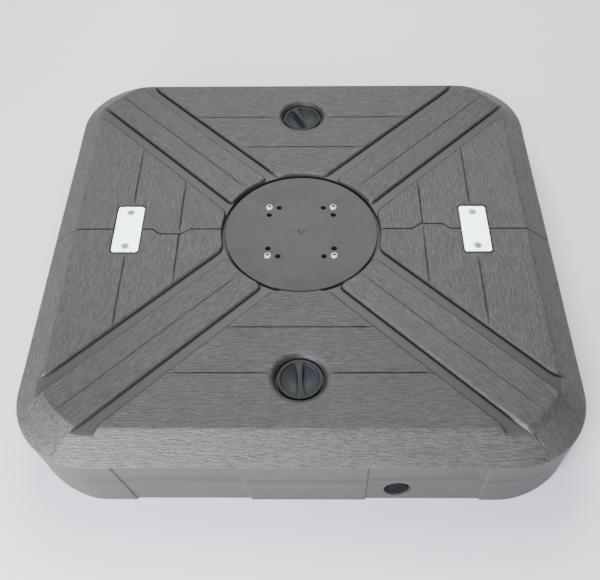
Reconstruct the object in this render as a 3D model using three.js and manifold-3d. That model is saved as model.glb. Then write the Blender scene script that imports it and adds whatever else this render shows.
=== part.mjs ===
// A fillable parasol base: two identical blow-moulded tanks, turned half a turn to each other, joined by
// two plates and a bolted mounting disc. Millimetres, +Z up, origin in the middle of the footprint on the
// floor. +X is right, +Y is to the rear.

import * as THREE from 'three';
import { mergeVertices } from 'three/addons/utils/BufferGeometryUtils.js';
import Module from 'manifold-3d';

// Overall form
const WIDTH = 1000;
const HEIGHT = 164;
const CORNER_RADIUS = 155;
const CHAMFER_OUT = 53;
const CHAMFER_DROP = 41;
const WALL = 4;
const GAP = 0.3;

// Seam between the halves: straight, with one stepped tooth each side of the disc
const TOOTH_DEPTH = 13;
const TOOTH = { innerFoot: 221, innerTop: 237, outerTop: 282, outerFoot: 296 };

// Star of four planks, each between two channels, on the diagonals
const PLANK_HALF_WIDTH = 44.5;
const CHANNEL_WIDTH = 33;
const CHANNEL_DEPTH = 8;
const CHANNEL_SLOPE = 3;
const CHANNEL_RUN = { from: 108.5, to: 750 };
const PLANK_LINE = { from: 175, to: 565 };

// Fine board grooves
const GROOVE_WIDTH = 2.4;
const GROOVE_DEPTH = 1.6;
const BOARD_LINES = { frontInner: 240, frontOuter: 338, sideInner: 242, sideOuter: 342 };

// Mounting disc, the recess it lies in, the pinched flange under it and the well below
const DISC_RADIUS = 152;
const DISC_THICKNESS = 8;
const RECESS_RADIUS = 155;
const FLANGE_THICKNESS = 7.8;
const WELL_FOOT_RADIUS = 132;
const WELL_TOP_RADIUS = 126;
const DISC_TOP = HEIGHT - CHANNEL_DEPTH;
const RECESS_FLOOR = DISC_TOP - DISC_THICKNESS - GAP;
const WELL_CEILING = RECESS_FLOOR - FLANGE_THICKNESS;

// Bolt holes: the mast bolts on a 130 mm square, with spare holes beside each
const BOLT_OFFSET = 65;
const SPARE_OFFSET = 45;
const BOLT_HOLE_RADIUS = 4.5;
const SPARE_HOLE_RADIUS = 5.5;
const BACKING_SIZE = 170;
const BACKING_THICKNESS = 4;
const BACKING_CORNER = 12;
const DISC_BEVEL = 1;

// M8 fasteners
const BOLT = { shankRadius: 4, headRadius: 7, headHeight: 4.4, length: 35, hexAcross: 5, hexDepth: 2.5 };
const BUTTON_HEAD = { brim: 0.25, shoulder: 0.68, shoulderRadius: 0.87, crownRadius: 0.5 };
const WASHER = { radius: 8, bore: 4.3, thickness: 1.6 };
const NUT = { across: 13, height: 6.5 };

// Joining plates and what holds them
const PLATE = { x: 345, width: 53, length: 121, thickness: 4, corner: 5.5, screwOffset: 45 };
const SCREW = { headRadius: 7.5, shankRadius: 4, length: 20, slotLength: 6, slotWidth: 1.5, slotDepth: 2 };
const INSERT = { radius: 6, bore: 4.3, length: 15.7, bossRadius: 12 };

// Filler neck and cap
const CAP_OFFSET = 345;
const DISH = { topRadius: 53, footRadius: 46.5, bulge: 1.5, depth: 16.1 };
const NECK = { bore: 35.4, outer: 40, length: 24 };
const THREAD = { pitch: 6, ridge: 1.3, turns: 1.25, start: 8, rootRadius: 33.6 };
const CAP = { rimRadius: 40.5, rimInner: 35.5, rimThickness: 4, rimBevel: 1, depth: 18, plugBevel: 2 };
const BOWL = { floor: 3, lipRadius: 30.2, lipDrop: 6.5, radius: 26, cornerHeight: 3, floorRadius: 22 };
const GRIP = { endWidth: 17, waist: 8, top: 0.5, reach: 36.5, plugInset: 2.5 };
const GASKET = { inner: 36.4, outer: 40.2, thickness: 2 };
const SEAT = HEIGHT - DISH.depth;
const CAP_TURN_DEG = { front: 3, rear: 28 };

// Shallow panels pressed into the walls, and the drain in the right-hand one
const WALL_PANEL = { near: 113, far: 317, depth: 3 };
const SLANTED_PANEL = { topLeft: -317, footLeft: -289, footRight: -84, topRight: -101 };
const DRAIN = { x: 169, z: 38, recess: 23, depth: 5, hole: 13.5, boss: 27 };
const BUNG = { radius: 19, head: 3.2, shank: 13.1, length: 17, headBevel: 1, tipBevel: 2 };
const BUNG_TAB = { reach: 22, halfWidth: 5, thickness: 2.4 };

const SEGMENTS = { large: 40, medium: 28, drain: 20, small: 12, hidden: 8, grip: 8, corner: 7, ridge: 3 };
const PLATE_CORNER_SEGMENTS = 3;
const OVER = 10;

const wasm = await Module();
wasm.setup();

// ---- Solids from three.js geometry -------------------------------------------------------------------

function solid(geometry, matrix = new THREE.Matrix4()) {
  const moved = geometry.clone().applyMatrix4(matrix);
  moved.deleteAttribute('normal');
  moved.deleteAttribute('uv');
  const merged = mergeVertices(moved, 1e-4);
  const index = merged.index.array;
  const triangles = [];
  for (let i = 0; i < index.length; i += 3) {
    const [a, b, c] = [index[i], index[i + 1], index[i + 2]];
    if (a !== b && b !== c && c !== a) triangles.push(a, b, c);
  }
  return new wasm.Manifold(new wasm.Mesh({
    numProp: 3,
    vertProperties: new Float32Array(merged.attributes.position.array),
    triVerts: new Uint32Array(triangles),
  }));
}

function geometryOf(manifold) {
  const mesh = manifold.getMesh();
  const geometry = new THREE.BufferGeometry();
  geometry.setAttribute('position', new THREE.BufferAttribute(mesh.vertProperties, 3));
  geometry.setIndex(new THREE.BufferAttribute(mesh.triVerts, 1));
  geometry.computeVertexNormals();
  return geometry;
}

function union(parts) {
  return parts.reduce((whole, part) => whole.add(part));
}

function polygon(points) {
  return new THREE.Shape(points.map(([x, y]) => new THREE.Vector2(x, y)));
}

function roundedRectangle(width, length, radius) {
  const [x, y] = [width / 2, length / 2];
  const shape = new THREE.Shape();
  shape.moveTo(x - radius, -y);
  shape.absarc(x - radius, radius - y, radius, -Math.PI / 2, 0);
  shape.absarc(x - radius, y - radius, radius, 0, Math.PI / 2);
  shape.absarc(radius - x, y - radius, radius, Math.PI / 2, Math.PI);
  shape.absarc(radius - x, radius - y, radius, Math.PI, 1.5 * Math.PI);
  return shape;
}

function prism(shape, bottom, top, [x, y] = [0, 0], curveSegments = 1) {
  const depth = top - bottom;
  const geometry = new THREE.ExtrudeGeometry(shape, { depth, bevelEnabled: false, curveSegments });
  return solid(geometry, new THREE.Matrix4().makeTranslation(x, y, bottom));
}

// A section in (sideways, height) pushed along the floor plan from start to end
function alongLine(section, [x0, y0], [x1, y1]) {
  const length = Math.hypot(x1 - x0, y1 - y0);
  const along = new THREE.Vector3((x1 - x0) / length, (y1 - y0) / length, 0);
  const up = new THREE.Vector3(0, 0, 1);
  const sideways = new THREE.Vector3().crossVectors(up, along);
  const place = new THREE.Matrix4().makeBasis(sideways, up, along).setPosition(x0, y0, 0);
  return solid(new THREE.ExtrudeGeometry(polygon(section), { depth: length, bevelEnabled: false }), place);
}

// A profile of [radius, height] pairs, from the bottom up, turned about a vertical axis
function turned(profile, [x, y] = [0, 0], segments = SEGMENTS.medium) {
  const points = profile.map(([radius, height]) => new THREE.Vector2(radius, height));
  const geometry = new THREE.LatheGeometry(points, segments).rotateX(Math.PI / 2);
  return solid(geometry, new THREE.Matrix4().makeTranslation(x, y, 0));
}

function cylinder(radius, bottom, top, place = [0, 0], segments = SEGMENTS.medium) {
  return turned([[0, bottom], [radius, bottom], [radius, top], [0, top]], place, segments);
}

function ring(inner, outer, bottom, top, place, segments) {
  const profile = [[inner, bottom], [outer, bottom], [outer, top], [inner, top], [inner, bottom]];
  return turned(profile, place, segments);
}

function block(x0, x1, y0, y1, z0, z1) {
  const centre = new THREE.Matrix4().makeTranslation((x0 + x1) / 2, (y0 + y1) / 2, (z0 + z1) / 2);
  return solid(new THREE.BoxGeometry(x1 - x0, y1 - y0, z1 - z0), centre);
}

// A right-handed thread ridge of round section
class Helix extends THREE.Curve {
  constructor(radius, bottom) {
    super();
    this.radius = radius;
    this.bottom = bottom;
  }

  getPoint(t, target = new THREE.Vector3()) {
    const angle = 2 * Math.PI * THREAD.turns * t;
    const height = this.bottom + THREAD.pitch * THREAD.turns * t;
    return target.set(this.radius * Math.cos(angle), this.radius * Math.sin(angle), height);
  }
}

function threadRidge(radius, bottom) {
  const section = new THREE.Shape().absarc(0, 0, THREAD.ridge, 0, 2 * Math.PI);
  const steps = Math.round(SEGMENTS.medium * THREAD.turns);
  const path = new Helix(radius, bottom);
  const sweep = { steps, curveSegments: SEGMENTS.ridge, extrudePath: path };
  return solid(new THREE.ExtrudeGeometry(section, sweep));
}

// ---- Tank form ---------------------------------------------------------------------------------------

// The chamfered, round-cornered block, drawn in by `inset` on every side
function tankForm(inset) {
  const slope = CHAMFER_DROP / CHAMFER_OUT;
  const drawnIn = (inset * Math.hypot(1, slope) - inset) / slope;
  const top = HEIGHT - inset;
  const topHalf = WIDTH / 2 - CHAMFER_OUT - drawnIn;
  const chamferOut = WIDTH / 2 - inset - topHalf;
  const chamferDrop = chamferOut * slope;
  const outline = roundedRectangle(2 * topHalf, 2 * topHalf, CORNER_RADIUS - inset - chamferOut);
  const geometry = new THREE.ExtrudeGeometry(outline, {
    depth: top,
    curveSegments: SEGMENTS.corner,
    bevelSegments: 1,
    bevelSize: chamferOut,
    bevelThickness: chamferDrop,
  });
  const form = solid(geometry, new THREE.Matrix4().makeTranslation(0, 0, -chamferDrop));
  return form.intersect(block(-WIDTH, WIDTH, -WIDTH, WIDTH, inset, HEIGHT));
}

// Everything in front of the seam line, drawn back from it by `inset`
function frontOfSeam(inset) {
  const side = [
    [TOOTH.innerFoot, 0],
    [TOOTH.innerTop, TOOTH_DEPTH],
    [TOOTH.outerTop, TOOTH_DEPTH],
    [TOOTH.outerFoot, 0],
    [WIDTH, 0],
  ];
  const left = side.map(([x, y]) => [-x, -y]).reverse();
  const seam = [...left, ...side].map(([x, y]) => [x, y - inset]);
  const outline = polygon([...seam, [WIDTH, -WIDTH], [-WIDTH, -WIDTH]]);
  return prism(outline, -OVER, HEIGHT + OVER);
}

// The two channels beside each plank of the front half; `grow` thickens the cut for the inner skin
function channels(grow) {
  const wallSlope = CHANNEL_SLOPE / CHANNEL_DEPTH;
  const spread = OVER * wallSlope;
  const near = PLANK_HALF_WIDTH - grow;
  const far = PLANK_HALF_WIDTH + CHANNEL_WIDTH + grow;
  const floor = HEIGHT - CHANNEL_DEPTH - grow;
  const section = [
    [near - spread, HEIGHT + OVER],
    [near + CHANNEL_SLOPE, floor],
    [far - CHANNEL_SLOPE, floor],
    [far + spread, HEIGHT + OVER],
  ];
  const parts = [];
  for (const arm of [-Math.PI / 4, -3 * Math.PI / 4]) {
    for (const side of [-1, 1]) {
      const start = [Math.cos(arm) * CHANNEL_RUN.from, Math.sin(arm) * CHANNEL_RUN.from];
      const end = [Math.cos(arm) * CHANNEL_RUN.to, Math.sin(arm) * CHANNEL_RUN.to];
      parts.push(alongLine(section.map(([s, z]) => [side * s, z]), start, end));
    }
  }
  return union(parts);
}

function groove(start, end) {
  const section = [
    [-GROOVE_WIDTH, HEIGHT + GROOVE_DEPTH],
    [0, HEIGHT - GROOVE_DEPTH],
    [GROOVE_WIDTH, HEIGHT + GROOVE_DEPTH],
  ];
  return alongLine(section, start, end);
}

function boardGrooves() {
  // A board line stops at the channel, whose edge is this far in plan beyond the diagonal
  const reach = (line) => line - (PLANK_HALF_WIDTH + CHANNEL_WIDTH) * Math.SQRT2 + GROOVE_WIDTH;
  const { frontInner, frontOuter, sideInner, sideOuter } = BOARD_LINES;
  const plateEnd = PLATE.length / 2 + OVER;
  const parts = [
    groove([-reach(frontInner), -frontInner], [reach(frontInner), -frontInner]),
  ];
  for (const side of [-1, 1]) {
    parts.push(groove([side * DISH.topRadius, -frontOuter], [side * reach(frontOuter), -frontOuter]));
    parts.push(groove([side * sideInner, OVER], [side * sideInner, -reach(sideInner)]));
    parts.push(groove([side * sideOuter, -plateEnd], [side * sideOuter, -reach(sideOuter)]));
    const [from, to] = [PLANK_LINE.from * Math.SQRT1_2, PLANK_LINE.to * Math.SQRT1_2];
    parts.push(groove([side * from, -from], [side * to, -to]));
  }
  return union(parts);
}

function boltPlaces(offsets) {
  return offsets.flatMap(([x, y]) => [[x, y], [-x, y], [-x, -y], [x, -y]]);
}

const mastPlaces = boltPlaces([[BOLT_OFFSET, BOLT_OFFSET]]);
const sparePlaces = boltPlaces([[BOLT_OFFSET, SPARE_OFFSET], [SPARE_OFFSET, BOLT_OFFSET]]);

function holes(places, radius, bottom, top, segments = SEGMENTS.small) {
  return union(places.map((place) => cylinder(radius, bottom, top, place, segments)));
}

function wallPanels(grow) {
  const depth = WALL_PANEL.depth + grow;
  const [near, far] = [WALL_PANEL.near - grow, WALL_PANEL.far + grow];
  const outer = WIDTH / 2 + OVER;
  const inner = WIDTH / 2 - depth;
  const { topLeft, footLeft, footRight, topRight } = SLANTED_PANEL;
  const slanted = polygon([
    [footLeft - grow, 0],
    [footRight + grow, 0],
    [topRight + grow, HEIGHT],
    [topLeft - grow, HEIGHT],
  ]);
  const upright = new THREE.Matrix4().makeRotationX(Math.PI / 2).setPosition(0, -inner, 0);
  const extrusion = new THREE.ExtrudeGeometry(slanted, { depth: outer - inner, bevelEnabled: false });
  return union([
    block(near, far, -outer, -inner, -OVER, HEIGHT),
    solid(extrusion, upright),
    block(-outer, -inner, -far, -near, -OVER, HEIGHT),
    block(inner, outer, -far, -near, -OVER, HEIGHT),
  ]);
}

// A cylinder on the drain's axis, between two depths measured in from the front wall
function drainBore(radius, from, to) {
  const geometry = new THREE.CylinderGeometry(radius, radius, to - from, SEGMENTS.drain);
  const place = new THREE.Matrix4().makeTranslation(DRAIN.x, (from + to - WIDTH) / 2, DRAIN.z);
  return solid(geometry, place);
}

function plateRecesses() {
  const shape = roundedRectangle(PLATE.width + 4 * GAP, PLATE.length + 4 * GAP, PLATE.corner + 2 * GAP);
  const floor = HEIGHT - PLATE.thickness - GAP;
  return union([-1, 1].map((side) => {
    return prism(shape, floor, HEIGHT + OVER, [side * PLATE.x, 0], PLATE_CORNER_SEGMENTS);
  }));
}

function insertPockets(radius, bottom, top) {
  const places = [-1, 1].map((side) => [side * PLATE.x, -PLATE.screwOffset]);
  return holes(places, radius, bottom, top);
}

const capPlace = [0, -CAP_OFFSET];

function dishCut() {
  const middle = (DISH.topRadius + DISH.footRadius) / 2 - DISH.bulge;
  return turned([
    [0, SEAT],
    [DISH.footRadius, SEAT],
    [middle, SEAT + DISH.depth / 2],
    [DISH.topRadius, HEIGHT],
    [DISH.topRadius + 1, HEIGHT + OVER],
    [0, HEIGHT + OVER],
  ], capPlace);
}

// What the tank is empty of: the inner skin follows the outer relief one wall thickness below it
function cavity() {
  const insertFloor = HEIGHT - PLATE.thickness - 2 * GAP - INSERT.length - GAP;
  return tankForm(WALL)
    .intersect(frontOfSeam(WALL + GAP))
    .subtract(channels(WALL))
    .subtract(cylinder(RECESS_RADIUS + WALL, RECESS_FLOOR - WALL, HEIGHT, [0, 0], SEGMENTS.large))
    .subtract(cylinder(WELL_FOOT_RADIUS + WALL, -OVER, RECESS_FLOOR, [0, 0], SEGMENTS.large))
    .subtract(wallPanels(WALL))
    .subtract(drainBore(DRAIN.boss, 0, WALL_PANEL.depth + DRAIN.depth + WALL))
    .subtract(prism(
      roundedRectangle(2 * PLATE.x + PLATE.width + 2 * WALL, PLATE.length + 2 * WALL, PLATE.corner),
      HEIGHT - PLATE.thickness - GAP - WALL, HEIGHT,
    ))
    .subtract(insertPockets(INSERT.bossRadius, insertFloor - WALL, HEIGHT))
    .subtract(cylinder(DISH.topRadius + 1, SEAT - WALL, HEIGHT, capPlace))
    .subtract(cylinder(NECK.outer, SEAT - NECK.length, SEAT, capPlace));
}

function neckThread() {
  const ridge = threadRidge(NECK.bore, SEAT - THREAD.start - THREAD.pitch);
  return ridge.translate([...capPlace, 0]);
}

// One half of the base, as it lies at the front
function shell() {
  const insertTop = HEIGHT - PLATE.thickness - GAP;
  const insertFloor = insertTop - GAP - INSERT.length - GAP;
  const well = turned([
    [0, -OVER],
    [WELL_FOOT_RADIUS, -OVER],
    [WELL_FOOT_RADIUS, 0],
    [WELL_TOP_RADIUS, WELL_CEILING],
    [0, WELL_CEILING],
  ], [0, 0], SEGMENTS.large);
  const outside = tankForm(0)
    .intersect(frontOfSeam(GAP))
    .subtract(channels(0))
    .subtract(boardGrooves())
    .subtract(cylinder(RECESS_RADIUS, RECESS_FLOOR, HEIGHT + OVER, [0, 0], SEGMENTS.large))
    .subtract(well)
    .subtract(wallPanels(0))
    .subtract(drainBore(DRAIN.recess, -OVER, WALL_PANEL.depth + DRAIN.depth))
    .subtract(plateRecesses())
    .subtract(insertPockets(INSERT.radius + GAP, insertFloor, insertTop + OVER))
    .subtract(dishCut())
    .subtract(holes(
      [...mastPlaces, ...sparePlaces], SPARE_HOLE_RADIUS, WELL_CEILING - 1, RECESS_FLOOR + 1, SEGMENTS.hidden,
    ));
  return outside
    .subtract(cavity())
    .subtract(cylinder(NECK.bore, SEAT - NECK.length - 1, SEAT + 1, capPlace))
    .subtract(drainBore(DRAIN.hole, 0, WALL_PANEL.depth + DRAIN.depth + WALL + 1))
    .add(neckThread());
}

// ---- Mounting disc and its fasteners -----------------------------------------------------------------

function mountingDisc() {
  const bottom = DISC_TOP - DISC_THICKNESS;
  const body = turned([
    [0, bottom],
    [DISC_RADIUS, bottom],
    [DISC_RADIUS, DISC_TOP - DISC_BEVEL],
    [DISC_RADIUS - DISC_BEVEL, DISC_TOP],
    [0, DISC_TOP],
  ], [0, 0], SEGMENTS.large);
  return body
    .subtract(holes(mastPlaces, BOLT_HOLE_RADIUS, bottom - 1, DISC_TOP + 1))
    .subtract(holes(sparePlaces, SPARE_HOLE_RADIUS, bottom - 1, DISC_TOP + 1));
}

function backingPlate() {
  const top = WELL_CEILING - GAP;
  const bottom = top - BACKING_THICKNESS;
  const outline = roundedRectangle(BACKING_SIZE, BACKING_SIZE, BACKING_CORNER);
  return prism(outline, bottom, top, [0, 0], PLATE_CORNER_SEGMENTS)
    .subtract(holes(mastPlaces, BOLT_HOLE_RADIUS, bottom - 1, top + 1, SEGMENTS.hidden))
    .subtract(holes(sparePlaces, SPARE_HOLE_RADIUS, bottom - 1, top + 1, SEGMENTS.hidden));
}

// The bolt and its washer and nut, in the bolt's own frame: the head's underside is at height zero
function mastBolt() {
  const { shankRadius, headRadius, headHeight, length, hexAcross, hexDepth } = BOLT;
  const body = turned([
    [0, -length],
    [shankRadius, -length],
    [shankRadius, 0],
    [headRadius, 0],
    [headRadius, headHeight * BUTTON_HEAD.brim],
    [headRadius * BUTTON_HEAD.shoulderRadius, headHeight * BUTTON_HEAD.shoulder],
    [headRadius * BUTTON_HEAD.crownRadius, headHeight],
    [0, headHeight],
  ], [0, 0], SEGMENTS.small);
  const socket = cylinder(hexAcross / Math.sqrt(3), headHeight - hexDepth, headHeight + 1, [0, 0], 6);
  return body.subtract(socket);
}

function boltNut() {
  const body = cylinder(NUT.across / Math.sqrt(3), 0, NUT.height, [0, 0], 6);
  return body.subtract(cylinder(BOLT.shankRadius + GAP, -1, NUT.height + 1, [0, 0], SEGMENTS.small));
}

// ---- Joining plates ----------------------------------------------------------------------------------

function screwPlaces() {
  return [-1, 1].map((end) => [0, end * PLATE.screwOffset]);
}

// The plate, its screw and the insert under it, with the panel's surface at height zero
function joiningPlate() {
  const { headRadius, shankRadius } = SCREW;
  const countersink = (place) => turned([
    [0, -PLATE.thickness - 1],
    [shankRadius + GAP, -PLATE.thickness - 1],
    [shankRadius + GAP, shankRadius - headRadius],
    [headRadius + GAP, 0],
    [headRadius + GAP, 1],
    [0, 1],
  ], place, SEGMENTS.small);
  const outline = roundedRectangle(PLATE.width, PLATE.length, PLATE.corner);
  return prism(outline, -PLATE.thickness, 0, [0, 0], PLATE_CORNER_SEGMENTS)
    .subtract(union(screwPlaces().map(countersink)));
}

function joiningScrew() {
  const { headRadius, shankRadius, length, slotLength, slotWidth, slotDepth } = SCREW;
  const body = turned([
    [0, -length],
    [shankRadius, -length],
    [shankRadius, shankRadius - headRadius],
    [headRadius, 0],
    [0, 0],
  ], [0, 0], SEGMENTS.small);
  const [long, wide] = [slotLength / 2, slotWidth / 2];
  return body
    .subtract(block(-long, long, -wide, wide, -slotDepth, 1))
    .subtract(block(-wide, wide, -long, long, -slotDepth, 1));
}

// ---- Fill cap and gasket -----------------------------------------------------------------------------

// The cap stands on its neck's seat, at height zero, with its grip bar along Y
function fillCap() {
  const { rimRadius, rimInner, rimThickness, rimBevel, depth, plugBevel } = CAP;
  const rimFoot = GASKET.thickness + 2 * GAP;
  const rimTop = rimFoot + rimThickness;
  const body = turned([
    [0, -depth],
    [THREAD.rootRadius - plugBevel, -depth],
    [THREAD.rootRadius, plugBevel - depth],
    [THREAD.rootRadius, rimFoot],
    [rimRadius, rimFoot],
    [rimRadius, rimTop - rimBevel],
    [rimRadius - rimBevel, rimTop],
    [rimInner, rimTop],
    [BOWL.lipRadius, rimTop - BOWL.lipDrop],
    [BOWL.radius, BOWL.floor + BOWL.cornerHeight - depth],
    [BOWL.floorRadius, BOWL.floor - depth],
    [0, BOWL.floor - depth],
  ]);
  const [end, waist] = [GRIP.endWidth / 2, GRIP.waist / 2];
  const outline = new THREE.Shape();
  outline.moveTo(end, -GRIP.reach);
  outline.quadraticCurveTo(2 * waist - end, 0, end, GRIP.reach);
  outline.lineTo(-end, GRIP.reach);
  outline.quadraticCurveTo(end - 2 * waist, 0, -end, -GRIP.reach);
  const bar = prism(outline, BOWL.floor / 2 - depth, rimTop - GRIP.top, [0, 0], SEGMENTS.grip);
  const envelope = turned([
    [0, -depth],
    [THREAD.rootRadius - GRIP.plugInset, -depth],
    [THREAD.rootRadius - GRIP.plugInset, rimFoot],
    [GRIP.reach, rimFoot + rimBevel],
    [GRIP.reach, rimTop],
    [0, rimTop],
  ]);
  const thread = threadRidge(THREAD.rootRadius, -THREAD.start - THREAD.pitch / 2);
  return body.add(bar.intersect(envelope)).add(thread);
}

function capGasket() {
  return ring(GASKET.inner, GASKET.outer, GAP, GAP + GASKET.thickness, [0, 0], SEGMENTS.medium);
}

// ---- Drain bung --------------------------------------------------------------------------------------

// The bung points along +Y into the wall; its head's back lies at y = 0
function drainBung() {
  const { radius, head, shank, length, headBevel, tipBevel } = BUNG;
  const profile = [
    [0, -head],
    [radius - headBevel, -head],
    [radius, headBevel - head],
    [radius, 0],
    [shank, 0],
    [shank, length - tipBevel],
    [shank - tipBevel, length],
    [0, length],
  ].map(([r, z]) => new THREE.Vector2(r, z));
  const body = solid(new THREE.LatheGeometry(profile, SEGMENTS.drain));
  const tab = block(
    -BUNG_TAB.reach, headBevel - radius, -head, BUNG_TAB.thickness - head,
    -BUNG_TAB.halfWidth, BUNG_TAB.halfWidth,
  );
  return body.add(tab);
}

// ---- Materials and scene -----------------------------------------------------------------------------

function finish(color, roughness, metalness = 0) {
  return new THREE.MeshStandardMaterial({ color, roughness, metalness });
}

const group = new THREE.Group();

function place(name, geometry, material, [x, y, z] = [0, 0, 0], turn = 0) {
  const mesh = new THREE.Mesh(geometry, material);
  mesh.name = name;
  mesh.position.set(x, y, z);
  mesh.rotation.z = turn;
  group.add(mesh);
}

const shellGeometry = geometryOf(shell());
const capGeometry = geometryOf(fillCap());
const gasketGeometry = geometryOf(capGasket());
const bungGeometry = geometryOf(drainBung());
const bungDepth = WIDTH / 2 - WALL_PANEL.depth - DRAIN.depth + GAP;

// Each half of the base, with its cap, gasket and bung, is the other turned half a turn
for (const [half, side, turn] of [['front', -1, 0], ['rear', 1, Math.PI]]) {
  const capTurn = CAP_TURN_DEG[half];
  const capLift = THREAD.pitch * capTurn / 360;
  const capAngle = turn + THREE.MathUtils.degToRad(capTurn);
  place(`${half}_shell`, shellGeometry, finish(0x7c7b7a, 0.65), [0, 0, 0], turn);
  place(`${half}_fill_cap`, capGeometry, finish(0x3c4242, 0.4),
    [0, side * CAP_OFFSET, SEAT + capLift], capAngle);
  place(`${half}_cap_gasket`, gasketGeometry, finish(0x1c1c1c, 0.8), [0, side * CAP_OFFSET, SEAT], turn);
  place(`${half}_drain_bung`, bungGeometry, finish(0x2b2e31, 0.6),
    [-side * DRAIN.x, side * bungDepth, DRAIN.z], turn);
}

place('mounting_disc', geometryOf(mountingDisc()), finish(0x6d6a66, 0.6));
place('backing_plate', geometryOf(backingPlate()), finish(0x3a3a3c, 0.5, 0.8));

const boltGeometry = geometryOf(mastBolt());
const washer = ring(WASHER.bore, WASHER.radius, 0, WASHER.thickness, [0, 0], SEGMENTS.small);
const washerGeometry = geometryOf(washer);
const nutGeometry = geometryOf(boltNut());
const washerBottom = WELL_CEILING - BACKING_THICKNESS - 2 * GAP - WASHER.thickness;
mastPlaces.forEach(([x, y], i) => {
  place(`mast_bolt_${i + 1}`, boltGeometry, finish(0xd8d8c4, 0.35, 1), [x, y, DISC_TOP + GAP]);
  place(`bolt_washer_${i + 1}`, washerGeometry, finish(0xb8b8b4, 0.4, 1), [x, y, washerBottom]);
  place(`bolt_nut_${i + 1}`, nutGeometry, finish(0xb8b8b4, 0.4, 1), [x, y, washerBottom - GAP - NUT.height]);
});

const plateGeometry = geometryOf(joiningPlate());
const screwGeometry = geometryOf(joiningScrew());
const insertGeometry = geometryOf(ring(INSERT.bore, INSERT.radius, 0, INSERT.length, [0, 0], SEGMENTS.small));
const insertBottom = HEIGHT - PLATE.thickness - 2 * GAP - INSERT.length;
let screwNumber = 0;
for (const [name, side] of [['left', -1], ['right', 1]]) {
  place(`${name}_joining_plate`, plateGeometry, finish(0xe6f2f2, 0.4, 0.2), [side * PLATE.x, 0, HEIGHT]);
  for (const [, y] of screwPlaces()) {
    screwNumber += 1;
    place(`joining_screw_${screwNumber}`, screwGeometry, finish(0xc8ccca, 0.35, 1),
      [side * PLATE.x, y, HEIGHT]);
    place(`threaded_insert_${screwNumber}`, insertGeometry, finish(0xb08d4f, 0.4, 1),
      [side * PLATE.x, y, insertBottom]);
  }
}

export default group;
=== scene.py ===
import math

import bmesh
import bpy
import numpy as np
from mathutils import Matrix, Vector
from mathutils.geometry import delaunay_2d_cdt


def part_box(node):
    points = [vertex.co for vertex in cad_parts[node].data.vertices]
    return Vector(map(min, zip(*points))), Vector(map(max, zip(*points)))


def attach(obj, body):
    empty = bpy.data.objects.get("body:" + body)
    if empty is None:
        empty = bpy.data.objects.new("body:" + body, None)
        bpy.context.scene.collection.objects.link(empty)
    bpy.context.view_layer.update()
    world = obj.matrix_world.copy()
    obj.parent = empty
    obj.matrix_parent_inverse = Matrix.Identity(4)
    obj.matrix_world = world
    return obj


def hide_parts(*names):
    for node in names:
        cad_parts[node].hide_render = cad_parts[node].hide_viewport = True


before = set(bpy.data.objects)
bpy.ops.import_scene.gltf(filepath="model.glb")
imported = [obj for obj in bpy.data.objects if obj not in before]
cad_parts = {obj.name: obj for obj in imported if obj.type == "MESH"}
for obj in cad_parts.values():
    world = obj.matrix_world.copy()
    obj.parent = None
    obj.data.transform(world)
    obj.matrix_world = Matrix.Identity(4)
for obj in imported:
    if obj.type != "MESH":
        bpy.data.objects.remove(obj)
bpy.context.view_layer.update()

# ---- Sizes, in millimetres, from the frame and a few driving dimensions ----

MM = 0.001
# How far along X and along Y a step of 1 along a diagonal goes
DIAGONAL = math.sqrt(0.5)


def box_mm(node):
    low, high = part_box(node)
    return np.array(low) / MM, np.array(high) / MM


def centre_mm(node):
    low, high = box_mm(node)
    return (low + high) / 2


# A flat deck, a chamfer round it, a rounded shoulder and upright walls
HALF = box_mm("front_shell")[1][0]
DECK = box_mm("left_joining_plate")[1][2]
CHAMFER_OUT, CHAMFER_DROP, CHAMFER_BLEND = 53, 41, 2.5
SLOPE = CHAMFER_DROP / CHAMFER_OUT
DECK_HALF = HALF - CHAMFER_OUT
DECK_CORNER = 94
WALL_CORNER = DECK_CORNER + CHAMFER_OUT
SHOULDER_RADIUS, FOOT_RADIUS = 6, 1.5
GAP = 0.3
# How far the walls' foot is drawn in at the middle of each half's left and right corner
LEFT_DRAW, RIGHT_DRAW = 12, 6

# Diagonal planks between channels, with rounded edges EDGE_RUN wide
PLANK_HALF, CHANNEL_WIDTH, EDGE_RUN = 44.5, 33, 6.6
CHANNEL_FLOOR = box_mm("mounting_disc")[1][2]
CHANNEL_REACH = (PLANK_HALF + CHANNEL_WIDTH) * math.sqrt(2)
# Where a channel starts to open out before the deck's edge, over what run, and by how much each side
MOUTH_START, MOUTH_RUN, MOUTH_NEAR, MOUTH_FAR = 14, 26, 3.5, 11
# The planks' ends are cut nearly straight across, and slope down to the corner's shoulder
PLANK_CUT, PLANK_CUT_BULGE, PLANK_CUT_SLOPE = 579, 5, 0.645

# Fine grooves between the boards, and their depths
BOARD_Y = {"inner": 240, "outer": 338}
BOARD_X = {"inner": 242, "outer": 342}
GROOVE_HALF, GROOVE_TAPER, GROOVE_MARGIN = 1.9, 4, 2
FRONT_GROOVE, SIDE_GROOVE, PLANK_GROOVE, CORNER_GROOVE = 2.4, 2.3, 1.2, 0.7
# Where they start and end: beside the cap, past the seam, past the plate, and along the plank's middle
GROOVE_FROM_CAP, PAST_SEAM, PAST_PLATE, PLANK_GROOVE_START, PLANK_GROOVE_END = 55, 6, 9, 178, 578
# Those at a corner run down the chamfer: (distance out from the deck's edge, from the diagonal)
CORNER_GROOVE_ENDS = [(10, 43), (46, 46)]

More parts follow.
